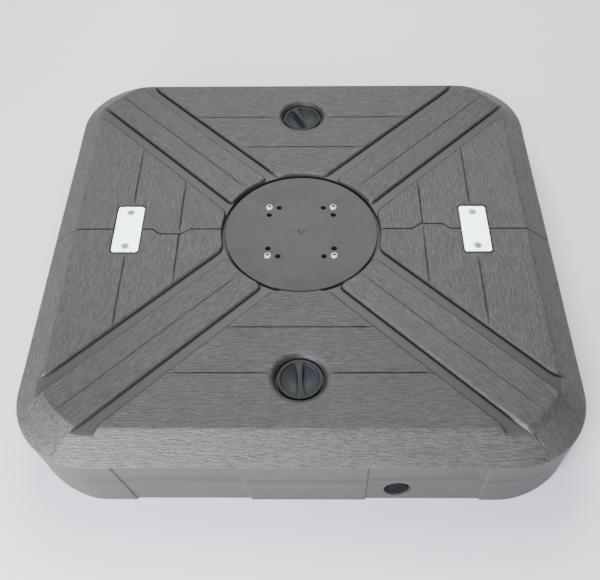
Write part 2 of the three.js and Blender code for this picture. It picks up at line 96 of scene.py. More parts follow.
# Recess for the disc, the corners of planks and panels beside it, and the well under it
RECESS_RADIUS, RECESS_STEP, RECESS_ROUND, END_CORNER = 157.8, 0.3, 3.5, 13
RECESS_FLOOR = box_mm("mounting_disc")[0][2] - GAP
WELL_CEILING = box_mm("backing_plate")[1][2] + GAP
WELL_FOOT_RADIUS, WELL_TOP_RADIUS, WELL_FILLET = 132, 126, 8

# Stepped seam between the halves
TOOTH_DEPTH = 13
TOOTH = [(221, 0), (237, TOOTH_DEPTH), (282, TOOTH_DEPTH), (296, 0)]
SEAM_ROUND = 2.5

# Dished filler necks with a thread inside, and their caps and gaskets
CAP_Y = 345
DISH_TOP, DISH_FOOT = 56, 42.4
SEAT = box_mm("front_cap_gasket")[0][2] - GAP
NECK_BORE, NECK_OUTER, NECK_LENGTH = 35.4, 40, 24
THREAD_PITCH, THREAD_RIDGE, THREAD_TURNS, THREAD_START = 6, 1.3, 1.25, 8
RIM_RADIUS, RIM_FOOT, RIM_TOP, RIM_ROUND = 40.5, 2.6, 6.6, 1.4
BOWL_RADIUS, BOWL_DEPTH, PLUG_RADIUS, CAP_DEPTH = 34.6, 20.8, 33.6, 18
BAR_WAIST, BAR_END, BAR_REACH, BAR_TOP, BAR_ROUND, BAR_RUN = 8, 17, 36.5, 6.1, 1.1, 2.0
GASKET_INNER, CAP_POINTS = 36.4, 144
CAP_TURN = {"front": 3, "rear": 28}

# Joining plates, their pockets and screws
PLATE_X = centre_mm("right_joining_plate")[0]
PLATE_FLOOR = box_mm("right_joining_plate")[0][2] - GAP
PLATE_WIDTH, PLATE_LENGTH = (box_mm("right_joining_plate")[1] - box_mm("right_joining_plate")[0])[:2]
PLATE_CORNER, POCKET_CORNER, PLATE_GAP, PLATE_END_GAP, PLATE_RUN = 5.5, 6, 1.4, 3.0, 1.3
SCREW_Y, SCREW_HEAD, SCREW_SHANK = 45, 7.5, 4
SLOT_LENGTH, SLOT_WIDTH, SLOT_TURN = 6, 1.5, 24

# Panels in the walls, the step and groove at the parting line, and the drains and their bungs
PANEL_DEPTH, PANEL_RUN, PANEL_NEAR, PANEL_FAR = 3.0, 4.0, 113, 317
PARTING_STEP, PARTING_RUN, PARTING_GROOVE, PARTING_HALF = 0.6, 1.2, 1.1, 1.0
DRAIN_RECESS_FOOT, DRAIN_RECESS_TOP, DRAIN_RECESS_DEPTH, DRAIN_HOLE = 22.4, 24, 5, 13.5
BUNG_RADIUS, BUNG_HEAD, BUNG_TAB_REACH, BUNG_TAB_HALF = 19, 3.2, 22, 5
DRAIN_X = box_mm("front_drain_bung")[1][0] - BUNG_RADIUS
DRAIN_Z = centre_mm("front_drain_bung")[2]

# The tanks' inside, whose corners are rounder at the foot
WALL = 4
CAVITY_INSET, CAVITY_TOP, CAVITY_SHOULDER, CAVITY_FOOT_GROWTH = 12, 139, 116, 45

# Bolts, and the holes for them in one quarter of the disc and the backing plate
BOLT_PLACES, SPARE_PLACES = [(65, 65)], [(65, 45), (45, 65)]
BOLT_HOLE, SPARE_HOLE, BACKING_CORNER = 4.5, 5.5, 12
BOLT_HEAD, BOLT_SHANK, SCREW_PITCH, SOCKET_ACROSS = 4.4, 4, 1.25, 5.6

# Camera, floor and light, in metres and degrees
CAMERA_PLACE = (0.0205, -1.1131, 1.3791)
CAMERA_PITCH, CAMERA_YAW, CAMERA_ROLL = 51.76, -1.291, -1.089
CAMERA_LENS, SENSOR_WIDTH = 49.6, 36
FLOOR_REACH = 12
WORLD_STRENGTH = 0.45
# Name, place, target, width, height, power and tint of each area light
LIGHTS = [
    ("key", (-1.3, -2.25, 0.38), (0, 0, 0.12), 1.6, 0.5, 214, (1.0, 1.0, 0.97)),
    ("top", (-0.15, 0.9, 2.3), (0, 0, 0.1), 1.8, 1.4, 44, (1.0, 0.97, 0.88)),
    ("back", (0, 1.72, 2.06), (0, 0, 0.1), 2.2, 0.5, 46, (1.0, 1.0, 1.0)),
    ("fill", (-0.45, -1.5, 1.7), (-0.1, -0.45, 0.1), 0.6, 0.5, 34, (0.55, 0.52, 1.0)),
    ("side", (2.2, -1.4, 0.8), (0, 0, 0.1), 1.2, 0.8, 14, (1.0, 1.0, 0.98)),
]

# The darkest and the lightest colour of each material
COLOURS = {
    "moulded_plastic": ((0.021, 0.0205, 0.0185), (0.085, 0.085, 0.083)),
    "disc_plastic": ((0.046, 0.045, 0.0415), (0.062, 0.06, 0.055)),
    "cap_plastic": ((0.045, 0.052, 0.05), (0.067, 0.076, 0.071)),
    "bolt_plating": ((0.6, 0.6, 0.44), (0.82, 0.81, 0.64)),
    "zinc": ((0.42, 0.43, 0.42), (0.66, 0.67, 0.65)),
    "black_powder_coat": ((0.03, 0.03, 0.032), (0.05, 0.05, 0.054)),
    "painted_plate": ((0.76, 0.94, 1.0), (0.82, 1.0, 1.0)),
    "screw_steel": ((0.13, 0.15, 0.15), (0.32, 0.35, 0.35)),
    "brass": ((0.45, 0.28, 0.09), (0.62, 0.42, 0.16)),
    "gasket_rubber": ((0.006, 0.006, 0.006), (0.012, 0.012, 0.012)),
    "bung_rubber": ((0.0025, 0.003, 0.0035), (0.006, 0.007, 0.008)),
    "pale_floor": ((0.93, 0.93, 0.93), (0.96, 0.96, 0.96)),
}
# The shell's moulded grain, in metres deep, and its roughness
GRAIN_DEPTH, SHELL_ROUGHNESS = 0.001, 0.55
# How the colour's tone is made up of the grain, the plain stretches, clouds and painted shade in the
# creases
PLAIN_TONE, CLOUD_TONE, CREASE_SHADE_TONE, TONE_SHIFT = 0.2, 0.17, 0.58, 0.14
# How strong the painted shade on the channels' walls is
CHANNEL_WALL_SHADE = 0.39


def smooth_step(t):
    t = np.clip(t, 0, 1)
    return t * t * (3 - 2 * t)


def soft_ramp(d, width):
    """Zero below -width, d above width, and a parabola between."""
    return np.where(d < -width, 0, np.where(d > width, d, (d + width) ** 2 / (4 * width)))


# ---- Height of the upper side, over the plan ----

def rounded_distance(past_x, past_y, corner):
    """Signed distance out from a rounded rectangle, from how far a point is past its straight core."""
    outside = np.hypot(np.maximum(past_x, 0), np.maximum(past_y, 0))
    return outside + np.minimum(np.maximum(past_x, past_y), 0) - corner


def deck_distance(x, y):
    """Signed distance out from the edge of the flat deck."""
    inner = DECK_HALF - DECK_CORNER
    return rounded_distance(np.abs(x) - inner, np.abs(y) - inner, DECK_CORNER)


def arm_offset(x, y):
    """Distance from the arm's middle line, in plan."""
    return np.abs(np.abs(x) - np.abs(y)) * DIAGONAL


def segment_distance(x, y, start, end):
    """Distance to a segment, and how far along it, as a share."""
    (ax, ay), (bx, by) = start, end
    dx, dy = bx - ax, by - ay
    share = np.clip(((x - ax) * dx + (y - ay) * dy) / (dx * dx + dy * dy), 0, 1)
    return np.hypot(x - ax - share * dx, y - ay - share * dy), share


def seam_points(back=0.0):
    """The stepped seam's corners from left to right, moved back into the front half."""
    right = [(x, y - back) for x, y in TOOTH] + [(HALF, -back)]
    left = [(-x, -y - back) for x, y in TOOTH] + [(-HALF, -back)]
    return left[::-1] + right


def seam_y(x):
    """The seam's Y at an X."""
    return np.interp(x, *zip(*seam_points()))


def seam_distance(x, y):
    points = seam_points()
    return np.min([segment_distance(x, y, a, b)[0] for a, b in zip(points, points[1:])], axis=0)


def board_grooves():
    """Segments of the fine grooves between boards, with each one's depth."""
    y, margin = BOARD_Y["inner"], GROOVE_MARGIN
    lines = [((CHANNEL_REACH - y - margin, -y), (y - CHANNEL_REACH + margin, -y), FRONT_GROOVE)]
    for side in (-1, 1):
        y = BOARD_Y["outer"]
        end = (side * (y - CHANNEL_REACH + margin), -y)
        lines.append(((side * GROOVE_FROM_CAP, -y), end, FRONT_GROOVE))
        for x, start in ((BOARD_X["inner"], PAST_SEAM), (BOARD_X["outer"], -PLATE_LENGTH / 2 - PAST_PLATE)):
            lines.append(((side * x, start), (side * x, CHANNEL_REACH - x - margin), SIDE_GROOVE))
        near, far = PLANK_GROOVE_START * DIAGONAL, PLANK_GROOVE_END * DIAGONAL
        lines.append(((side * near, -near), (side * far, -far), PLANK_GROOVE))
        for leaning in (-1, 1):
            ends = []
            for drop, offset in CORNER_GROOVE_ENDS:
                inner = (DECK_HALF - DECK_CORNER) * math.sqrt(2)
                along = inner + math.sqrt((DECK_CORNER + drop) ** 2 - offset ** 2)
                ends.append((side * (along + leaning * offset) * DIAGONAL,
                             -(along - leaning * offset) * DIAGONAL))
            lines.append((*ends, CORNER_GROOVE))
    return lines


GROOVES = board_grooves()


def channel_edges(x, y):
    """The channel's near and far edge offsets; they open out where it runs over the chamfer."""
    mouth = np.clip((deck_distance(x, y) + MOUTH_START) / MOUTH_RUN, 0, 1)
    near = PLANK_HALF - MOUTH_NEAR * mouth ** 2
    far = PLANK_HALF + CHANNEL_WIDTH + MOUTH_FAR * mouth ** 1.6
    return near, far


def rounded_drop(share):
    """From 0 to 1 like a quarter circle seen from the side: level at first and steep at the end."""
    return 1 - np.sqrt(1 - np.clip(share, 0, 1) ** 2)


def channel_share(x, y):
    """How far down a channel's rounded edges a point is, from 0 on the deck to 1 on the floor."""
    offset = arm_offset(x, y)
    near, far = channel_edges(x, y)
    return rounded_drop((offset - near) / EDGE_RUN) * rounded_drop((far - offset) / EDGE_RUN)


def plank_cut(offset):
    """How far along the diagonal a plank's end is cut, at an offset from its middle line."""
    return PLANK_CUT + PLANK_CUT_BULGE * (1 - np.minimum(offset / PLANK_HALF, 1) ** 2)


def chamfered_deck(x, y):
    """The top's height before anything is sunk into it."""
    chamfer = SLOPE * soft_ramp(deck_distance(x, y), CHAMFER_BLEND)
    past_cut = (np.abs(x) + np.abs(y)) * DIAGONAL - plank_cut(arm_offset(x, y))
    return DECK - np.maximum(chamfer, PLANK_CUT_SLOPE * soft_ramp(past_cut, CHAMFER_BLEND))


def end_corner_share(x, y):
    """How far a point is over the rounded corner, in plan, between a channel and the recess."""
    offset = arm_offset(x, y)
    plank = offset - (PLANK_HALF + EDGE_RUN) + END_CORNER
    panel = PLANK_HALF + CHANNEL_WIDTH - EDGE_RUN + END_CORNER - offset
    across = np.where(offset < PLANK_HALF + EDGE_RUN, plank, panel)
    inward = RECESS_RADIUS + RECESS_STEP + END_CORNER - np.hypot(x, y)
    over = np.where((across > 0) & (inward > 0), np.hypot(across, inward) - END_CORNER + EDGE_RUN, 0)
    return np.clip(over / EDGE_RUN, 0, 1)


def channel_depth(x, y):
    """How far a channel is sunk under the top at a point."""
    return channel_share(x, y) * soft_ramp(chamfered_deck(x, y) - CHANNEL_FLOOR, 0.8)


POCKET_CORE = (PLATE_WIDTH / 2 + PLATE_GAP - POCKET_CORNER,
               PLATE_LENGTH / 2 + PLATE_END_GAP - POCKET_CORNER)


def plate_distance(x, y):
    """Signed distance out from the nearer joining plate's pocket."""
    past_x = np.abs(np.abs(x) - PLATE_X) - POCKET_CORE[0]
    return rounded_distance(past_x, np.abs(y) - POCKET_CORE[1], POCKET_CORNER)


def seam_drop(distance):
    """How far the seam's rounded edge lies under the surface, at a distance from the seam."""
    inside = SEAM_ROUND - np.clip(distance, 0, SEAM_ROUND)
    return SEAM_ROUND - np.sqrt(SEAM_ROUND ** 2 - inside ** 2)


def upper_height(x, y):
    """The height of the front half's top, with its channels, grooves, dish, pocket, recess and seam."""
    corner = rounded_drop(end_corner_share(x, y)) * (DECK - CHANNEL_FLOOR)
    height = chamfered_deck(x, y) - np.maximum(channel_depth(x, y), corner)
    for start, end, depth in GROOVES:
        distance, share = segment_distance(x, y, start, end)
        length = math.dist(start, end)
        taper = np.clip(np.minimum(share, 1 - share) * length / GROOVE_TAPER, 0, 1)
        height = height - depth * taper * np.clip(1 - (distance / GROOVE_HALF) ** 2, 0, 1)
    dish = rounded_drop((DISH_TOP - np.hypot(x, y + CAP_Y)) / (DISH_TOP - DISH_FOOT))
    height = height - (height - SEAT) * dish
    plate = 1 - smooth_step(plate_distance(x, y) / PLATE_RUN)
    height = height + (PLATE_FLOOR - height) * plate
    past_wall = np.hypot(x, y) - RECESS_RADIUS - RECESS_STEP
    recess = np.clip(-past_wall / RECESS_STEP, 0, 1)
    height = np.minimum(height, DECK - RECESS_ROUND * rounded_drop(1 - past_wall / RECESS_ROUND))
    fade = np.clip((45 - deck_distance(x, y)) / 8, 0, 1)
    height = height - seam_drop(seam_distance(x, y) - GAP) * fade * (1 - plate) * (1 - recess)
    return height + (RECESS_FLOOR - height) * recess


# ---- Plan curves that the upper side's mesh follows ----

CHAMFER_ANGLE = math.atan2(CHAMFER_DROP, CHAMFER_OUT)
SHOULDER_TURN = math.pi / 2 - CHAMFER_ANGLE
SHOULDER_TANGENT = SHOULDER_RADIUS * math.tan(SHOULDER_TURN / 2)
UPPER_REACH = CHAMFER_OUT - SHOULDER_TANGENT * math.cos(CHAMFER_ANGLE)
SIDE_RUN = HALF - WALL_CORNER - GAP
ARC_RUN = WALL_CORNER * math.pi / 2
FRONT_RUN = 2 * (HALF - WALL_CORNER)
RIGHT_ARC = SIDE_RUN + ARC_RUN + FRONT_RUN
PERIMETER = 2 * SIDE_RUN + 2 * ARC_RUN + FRONT_RUN


# The spacing of points along straight lines, and the steps across an edge rounded by rounded_drop()
EDGE_SPACING = 15.0
ROUND_STEPS = (0, 0.26, 0.5, 0.71, 0.87, 0.966, 1)


def outline(s):
    """Deck edge point and outward normal at a distance s round the walls, from the left seam."""
    inner = HALF - WALL_CORNER
    s = float(s)
    if s < SIDE_RUN:
        return (-DECK_HALF, -GAP - s), (-1.0, 0.0)
    s -= SIDE_RUN
    if s < ARC_RUN:
        angle = math.pi + s / WALL_CORNER
        nx, ny = math.cos(angle), math.sin(angle)
        return (-inner + DECK_CORNER * nx, -inner + DECK_CORNER * ny), (nx, ny)
    s -= ARC_RUN
    if s < FRONT_RUN:
        return (-inner + s, -DECK_HALF), (0.0, -1.0)
    s -= FRONT_RUN
    if s < ARC_RUN:
        angle = 1.5 * math.pi + s / WALL_CORNER
        nx, ny = math.cos(angle), math.sin(angle)
        return (inner + DECK_CORNER * nx, -inner + DECK_CORNER * ny), (nx, ny)
    s -= ARC_RUN
    return (DECK_HALF, -inner + s), (1.0, 0.0)


def outline_run(x, y):
    """The distance round the walls of a plan point outside the deck's straight core."""
    inner = HALF - WALL_CORNER
    if y > -inner - 1e-6:
        return (-GAP - y) if x < 0 else PERIMETER + GAP + y
    if abs(x) < inner:
        return SIDE_RUN + ARC_RUN + x + inner
    if x < 0:
        return SIDE_RUN + WALL_CORNER * (math.atan2(y + inner, x + inner) % (2 * math.pi) - math.pi)
    return PERIMETER - SIDE_RUN - ARC_RUN + WALL_CORNER * (
        math.atan2(y + inner, x - inner) % (2 * math.pi) - 1.5 * math.pi)


def perimeter_stations():
    """Distances round the walls where the outline has a point: every 5 degrees round the arcs."""
    stations, start = [0.0], 0.0
    for run in (SIDE_RUN, ARC_RUN, FRONT_RUN, ARC_RUN, SIDE_RUN):
        steps = round(run / (math.radians(5) * WALL_CORNER if run == ARC_RUN else EDGE_SPACING))
        stations += [start + run * (i + 1) / steps for i in range(steps)]
        start += run
    return stations


STATIONS = perimeter_stations()


def offset_curve(distance):
    """The deck's edge moved outward, in plan, from the left end of the seam to the right end."""
    points = []
    for s in STATIONS:
        (x, y), (nx, ny) = outline(s)
        points.append((x + nx * distance, y + ny * distance))
    return points


def circle(x, y, radius, count):
    """A closed plan curve, whose last point is its first."""
    angles = [2 * math.pi * i / count for i in range(count + 1)]
    return [(x + radius * math.cos(a), y + radius * math.sin(a)) for a in angles]


def straight(start, end):
    count = max(1, round(math.dist(start, end) / EDGE_SPACING))
    return [(start[0] + (end[0] - start[0]) * i / count, start[1] + (end[1] - start[1]) * i / count)
            for i in range(count + 1)]


def parallel(start, end, offset):
    length = math.dist(start, end)
    nx, ny = (start[1] - end[1]) / length * offset, (end[0] - start[0]) / length * offset
    return straight((start[0] + nx, start[1] + ny), (end[0] + nx, end[1] + ny))


def channel_curves():
    """Lines along both edges of every channel of the front half."""
    curves = []
    for side_x in (-1, 1):
        for leaning in (-1, 1):
            for step in (*ROUND_STEPS, 1.3):
                for edge in (0, 1):
                    points = []
                    for along in np.arange(146, 612, 6.0):
                        offset = PLANK_HALF
                        for _ in range(6):
                            x = (along + leaning * offset) * DIAGONAL
                            y = (along - leaning * offset) * DIAGONAL
                            near, far = channel_edges(x, y)
                            offset = near + step * EDGE_RUN if edge == 0 else far - step * EDGE_RUN
                        if deck_distance(x, y) > 14:
                            break
                        points.append((side_x * x, -y))
                    curves.append(points)
    return curves


def plank_end_curves():
    """Lines along the cut across each plank's end, and round the corners beside the recess."""
    curves = []
    reach = RECESS_RADIUS + RECESS_STEP + END_CORNER
    offsets = (PLANK_HALF + EDGE_RUN - END_CORNER, PLANK_HALF + CHANNEL_WIDTH - EDGE_RUN + END_CORNER)
    for side in (-1, 1):
        for past in (-2.5, -1.2, 0, 1.2, 2.5):
            curves.append([(side * (plank_cut(abs(t)) + past + t) * DIAGONAL,
                            (t - plank_cut(abs(t)) - past) * DIAGONAL) for t in range(-44, 45, 8)])
        for offset in offsets:
            along = math.sqrt(reach ** 2 - offset ** 2)
            for t in (-offset, offset):
                centre = (side * (along + t) * DIAGONAL, (t - along) * DIAGONAL)
                curves += [circle(*centre, END_CORNER - EDGE_RUN * (1 - share), 32)
                           for share in ROUND_STEPS]
    return curves


def rounded_rectangle(core, radius, centre, steps):
    """Points round a rectangle whose corners have their middles core away from its centre."""
    points = []
    for quarter, (sx, sy) in enumerate(((1, 1), (-1, 1), (-1, -1), (1, -1))):
        for i in range(steps + 1):
            angle = (quarter + i / steps) * math.pi / 2
            points.append((centre[0] + sx * core[0] + radius * math.cos(angle),
                           centre[1] + sy * core[1] + radius * math.sin(angle)))
    return points


def pocket_curve(side, distance):
    points = rounded_rectangle(POCKET_CORE, POCKET_CORNER + distance, (side * PLATE_X, 0), 6)
    return points + points[:1]


SEAM_STEPS = (0.25, 0.8, 1.4, SEAM_ROUND)


def seam_curve(back):
    """The seam as a curve with evenly spaced points, moved back into the front half."""
    points = seam_points(back)
    return [p for a, b in zip(points, points[1:]) for p in straight(a, b)[:-1]] + points[-1:]


def upper_curves():
    """Curves in plan that the top's mesh follows."""
    curves = [offset_curve(d) for d in (-2.5, -1.3, 0, 1.3, 2.5, 9.2, 10.3, 11.4, 20, 30, 40)]
    curves += channel_curves() + plank_end_curves()
    turns = np.radians((0, 15, 30, 45, 60, 75, 90))
    curves.append(circle(0, 0, RECESS_RADIUS, 144))
    for a in turns:
        curves.append(circle(0, 0, RECESS_RADIUS + RECESS_STEP + RECESS_ROUND * (1 - math.cos(a)), 144))
    curves += [circle(0, -CAP_Y, DISH_TOP - (DISH_TOP - DISH_FOOT) * math.cos(a), 72) for a in turns]
    for start, end, _ in GROOVES:
        curves += [parallel(start, end, offset) for offset in (-GROOVE_HALF, -0.7, 0, 0.7, GROOVE_HALF)]
    for side in (-1, 1):
        curves += [pocket_curve(side, PLATE_RUN * t) for t in (0, 0.3, 0.7, 1)]
    curves += [seam_curve(GAP + back) for back in SEAM_STEPS]
    return curves


# ---- Planar meshing ----

def planar_mesh(curves, boundary, inside, spacing):
    """Triangulates the plan inside a closed boundary, following the curves; returns points and faces."""
    points, edges = [], []
    for curve in [boundary + boundary[:1]] + curves:
        first = len(points)
        points += [Vector(p) for p in curve]
        edges += [(i, i + 1) for i in range(first, len(points) - 1)]
    low, high = np.min(boundary, axis=0), np.max(boundary, axis=0)
    for x in np.arange(low[0] + spacing / 2, high[0], spacing):
        for y in np.arange(low[1] + spacing / 2, high[1], spacing):
            points.append(Vector((x, y)))
    found, _, faces, _, _, _ = delaunay_2d_cdt(points, edges, [], 0, 1e-3)
    found = np.array([tuple(p) for p in found])
    faces = np.array(faces)
    middle = found[faces].mean(axis=1)
    faces = faces[inside(middle[:, 0], middle[:, 1])]
    used = np.unique(faces)
    index = np.full(len(found), -1)
    index[used] = np.arange(len(used))
    return found[used], index[faces]


def boundary_vertices(faces):
    """The vertices on edges that only one face has."""
    edges = {}
    for face in faces:
        for i in range(len(face)):
            key = tuple(sorted((int(face[i]), int(face[i - 1]))))
            edges[key] = edges.get(key, 0) + 1
    return {v for key, count in edges.items() if count == 1 for v in key}


# ---- Walls: a developed sheet in (s, t), s round the base and t down the profile ----

SHOULDER_RUN = SHOULDER_RADIUS * SHOULDER_TURN
WALL_TOP = DECK - CHAMFER_DROP - SHOULDER_TANGENT
WALL_RUN = WALL_TOP - FOOT_RADIUS
FOOT_RUN = FOOT_RADIUS * math.pi / 2
PROFILE = SHOULDER_RUN + WALL_RUN + FOOT_RUN


def profile(t):
    """Distance out from the deck edge, height, and outward direction, t down the wall's profile."""
    if t < SHOULDER_RUN:
        angle = SHOULDER_TURN * (1 - t / SHOULDER_RUN)
        out, up = math.cos(angle), math.sin(angle)
        return CHAMFER_OUT - SHOULDER_RADIUS * (1 - out), WALL_TOP + SHOULDER_RADIUS * up, out, up
    t -= SHOULDER_RUN
    if t < WALL_RUN:
        return CHAMFER_OUT, WALL_TOP - t, 1.0, 0.0
    angle = min((t - WALL_RUN) / FOOT_RADIUS, math.pi / 2)
    out, up = math.cos(angle), -math.sin(angle)
    return CHAMFER_OUT - FOOT_RADIUS * (1 - out), FOOT_RADIUS * (1 + up), out, up


def wall_t(z):
    """How far down the profile a height on the upright wall is."""
    return SHOULDER_RUN + WALL_TOP - z


FRONT_MIDDLE = SIDE_RUN + ARC_RUN + HALF - WALL_CORNER
# Each panel's left and right edge: (s at the shoulder, s at the foot). The second one's edges slant.
PANELS = [
    ((PANEL_NEAR - GAP,) * 2, (PANEL_FAR - GAP,) * 2),
    ((FRONT_MIDDLE - PANEL_FAR, FRONT_MIDDLE - 289), (FRONT_MIDDLE - 101, FRONT_MIDDLE - 84)),
    ((FRONT_MIDDLE + PANEL_NEAR,) * 2, (FRONT_MIDDLE + PANEL_FAR,) * 2),
    ((PERIMETER + GAP - PANEL_FAR,) * 2, (PERIMETER + GAP - PANEL_NEAR,) * 2),
]
# Mould parting line: (s, height)
PARTING = [
    (0, 74), (SIDE_RUN, 74), (FRONT_MIDDLE - 330, 72), (FRONT_MIDDLE + 100, 72),
    (FRONT_MIDDLE + PANEL_NEAR, 76), (FRONT_MIDDLE + 296, 86), (FRONT_MIDDLE + 318, 69),
    (FRONT_MIDDLE + 345, 78), (PERIMETER, 78),
]


def parting_height(s):
    return np.interp(s, *zip(*PARTING))


def edge_at(edge, t):
    share = np.clip((t - SHOULDER_RUN) / (PROFILE - SHOULDER_RUN), 0, 1)
    return edge[0] + (edge[1] - edge[0]) * share


def wall_depth(s, t):
    """How far the wall is pressed in at (s, t)."""
    depth = 0
    top = smooth_step((t - SHOULDER_RUN * 0.35) / (SHOULDER_RUN * 0.65 + 1.5))
    for left, right in PANELS:
        from_left, from_right = s - edge_at(left, t), edge_at(right, t) - s
        panel = smooth_step(from_left / PANEL_RUN) * smooth_step(from_right / PANEL_RUN)
        depth = depth + PANEL_DEPTH * panel * top
    past_parting = t - wall_t(parting_height(s))
    depth = depth + PARTING_STEP * smooth_step(past_parting / PARTING_RUN)
    depth = depth + PARTING_GROOVE * np.clip(1 - np.abs(past_parting) / PARTING_HALF, 0, 1)
    radial = np.hypot(s - FRONT_MIDDLE - DRAIN_X, t - wall_t(DRAIN_Z))
    past_foot = (radial - DRAIN_RECESS_FOOT) / (DRAIN_RECESS_TOP - DRAIN_RECESS_FOOT)
    depth = depth + DRAIN_RECESS_DEPTH * (1 - smooth_step(past_foot))
    return depth + seam_drop(np.minimum(s, PERIMETER - s)) * np.clip(t / 8, 0, 1)


def corner_draw(s, t):
    """How far the wall leans in at the corners, which widen towards the foot."""
    share = min(max((t - SHOULDER_RUN) / WALL_RUN, 0), 1) ** 0.8
    for start, draw in ((SIDE_RUN, LEFT_DRAW), (RIGHT_ARC, RIGHT_DRAW)):
        angle = (s - start) / WALL_CORNER
        if 0 < angle < math.pi / 2:
            return draw * share * (math.cos(angle) + math.sin(angle) - 1) / (math.sqrt(2) - 1)
    return 0.0


def wall_point(s, t):
    """The wall's point in space at (s, t), pressed in by its panels, parting line and recess."""
    (x, y), (nx, ny) = outline(s)
    out, z, side, up = profile(t)
    if t > SHOULDER_RUN:
        side, up = 1.0, 0.0
    depth = float(wall_depth(s, t))
    reach = out - depth * side - corner_draw(s, t)
    return x + nx * reach, y + ny * reach, z - depth * up


def wall_curves(top_stations):
    """Curves in (s, t) that the walls' mesh follows."""
    curves = []
    for t in [SHOULDER_RUN * share for share in (0.25, 0.5, 0.75, 1)] + [SHOULDER_RUN + 1.5]:
        curves.append([(s, t) for s in np.linspace(0, PERIMETER, 160)])
    for share in (0, 0.33, 0.67):
        t = PROFILE - FOOT_RUN * (1 - share)
        curves.append([(s, t) for s in np.linspace(0, PERIMETER, 160)])
    for pair in PANELS:
        for edge, inward in zip(pair, (1, -1)):
            for step in (0, 0.2, 0.5, 0.8, 1):
                ts = np.linspace(SHOULDER_RUN * 0.3, PROFILE, 16)
                curves.append([(float(edge_at(edge, t)) + inward * step * PANEL_RUN, t) for t in ts])
    for shift in (-PARTING_HALF, 0, PARTING_RUN):
        curves.append([(s, wall_t(float(parting_height(s))) + shift)
                       for s in sorted({p[0] for p in PARTING} | set(np.linspace(0, PERIMETER, 120)))])
    for radius in (DRAIN_RECESS_FOOT, 22.7, 23.2, 23.7, DRAIN_RECESS_TOP):
        curves.append(circle(FRONT_MIDDLE + DRAIN_X, wall_t(DRAIN_Z), radius, 48))
    for inset in SEAM_STEPS:
        for s in (inset, PERIMETER - inset):
            curves.append([(s, t) for t in np.linspace(2, PROFILE, 12)])
    for s in top_stations:
        if SIDE_RUN < s < SIDE_RUN + ARC_RUN or RIGHT_ARC < s < PERIMETER - SIDE_RUN:
            curves.append([(s, t) for t in np.linspace(0, PROFILE, 14)])
    return curves


# ---- One half of the base ----

# The spacing of points inside a face, and how far in from the walls the seam's two upright ends reach
MESH_SPACING, SEAM_TAIL = 24, 12


def add_upper_side(mesh):
    """Adds the front half's top; returns its vertices along the rim and along the seam, from the left."""
    seam = [p for p in seam_curve(GAP)[:-1] if abs(p[0]) < DECK_HALF + UPPER_REACH - 1]

    def inside(x, y):
        return (y < seam_y(x) - GAP - 1e-4) & (deck_distance(x, y) < UPPER_REACH - 0.004)

    plan, faces = planar_mesh(upper_curves(), offset_curve(UPPER_REACH) + seam[::-1], inside, MESH_SPACING)
    upper = [mesh.verts.new((x, y, z)) for (x, y), z in zip(plan, upper_height(plan[:, 0], plan[:, 1]))]
    for face in faces:
        mesh.faces.new([upper[i] for i in face])
    edge = [upper[i] for i in boundary_vertices(faces)]
    rim = [v for v in edge if abs(deck_distance(*v.co.xy) - UPPER_REACH) < 0.12]
    seam = [v for v in edge if v not in rim]
    return sorted(rim, key=lambda v: outline_run(*v.co.xy)), sorted(seam, key=lambda v: v.co.x)


def add_walls(mesh, rim):
    """Adds the walls; returns their vertices down the left end, down the right end and along the foot."""
    stations = np.array([outline_run(*v.co.xy) for v in rim])
    stations[0], stations[-1] = 0.0, PERIMETER
    side = list(np.linspace(0, PROFILE, 12)[1:-1])
    sheet = [(s, 0.0) for s in stations] + [(PERIMETER, t) for t in side]
    sheet += [(s, PROFILE) for s in np.linspace(PERIMETER, 0, 150)] + [(0.0, t) for t in side[::-1]]

    def inside(s, t):
        return (s > 0) & (s < PERIMETER) & (t > 0) & (t < PROFILE)

    flat, faces = planar_mesh(wall_curves(stations), sheet, inside, MESH_SPACING)
    wall = []
    for s, t in flat:
        nearest = int(np.abs(stations - s).argmin())
        shared = t < 1e-3 and abs(stations[nearest] - s) < 0.05
        wall.append(rim[nearest] if shared else mesh.verts.new(wall_point(s, t)))
    for face in faces:
        mesh.faces.new([wall[i] for i in face[::-1]])

    def along(axis, place):
        found = [i for i in boundary_vertices(faces) if abs(flat[i][axis] - place) < 1e-3]
        return [wall[i] for i in sorted(found, key=lambda i: flat[i][1 - axis])]

    return along(0, 0.0), along(0, PERIMETER), along(1, PROFILE)


def half_body():
    """The closed outer skin of the front half, in millimetres."""
    mesh = bmesh.new()
    rim, seam = add_upper_side(mesh)
    left_end, right_end, foot = add_walls(mesh, rim)
    left_tail = [v for v in seam if v.co.x <= SEAM_TAIL - HALF]
    right_tail = [v for v in seam if v.co.x >= HALF - SEAM_TAIL]
    inner = [v for v in seam if abs(v.co.x) < HALF - SEAM_TAIL]
    below = [mesh.verts.new((v.co.x, v.co.y, 0)) for v in inner]
    for i in range(len(inner) - 1):
        mesh.faces.new((inner[i], inner[i + 1], below[i + 1], below[i]))
    mesh.faces.new(below[:1] + left_end[::-1] + left_tail + inner[:1])
    mesh.faces.new(inner[-1:] + right_tail + right_end + below[-1:])
    mesh.faces.new(foot + below[::-1])
    if any(len(edge.link_faces) != 2 for edge in mesh.edges):
        raise ValueError("the half body isn't closed")
    bmesh.ops.recalc_face_normals(mesh, faces=mesh.faces)
    return mesh


# ---- Solid pieces ----

def linked(name, data):
    """A new object in the scene."""
    made = bpy.data.objects.new(name, data)
    bpy.context.scene.collection.objects.link(made)
    return made


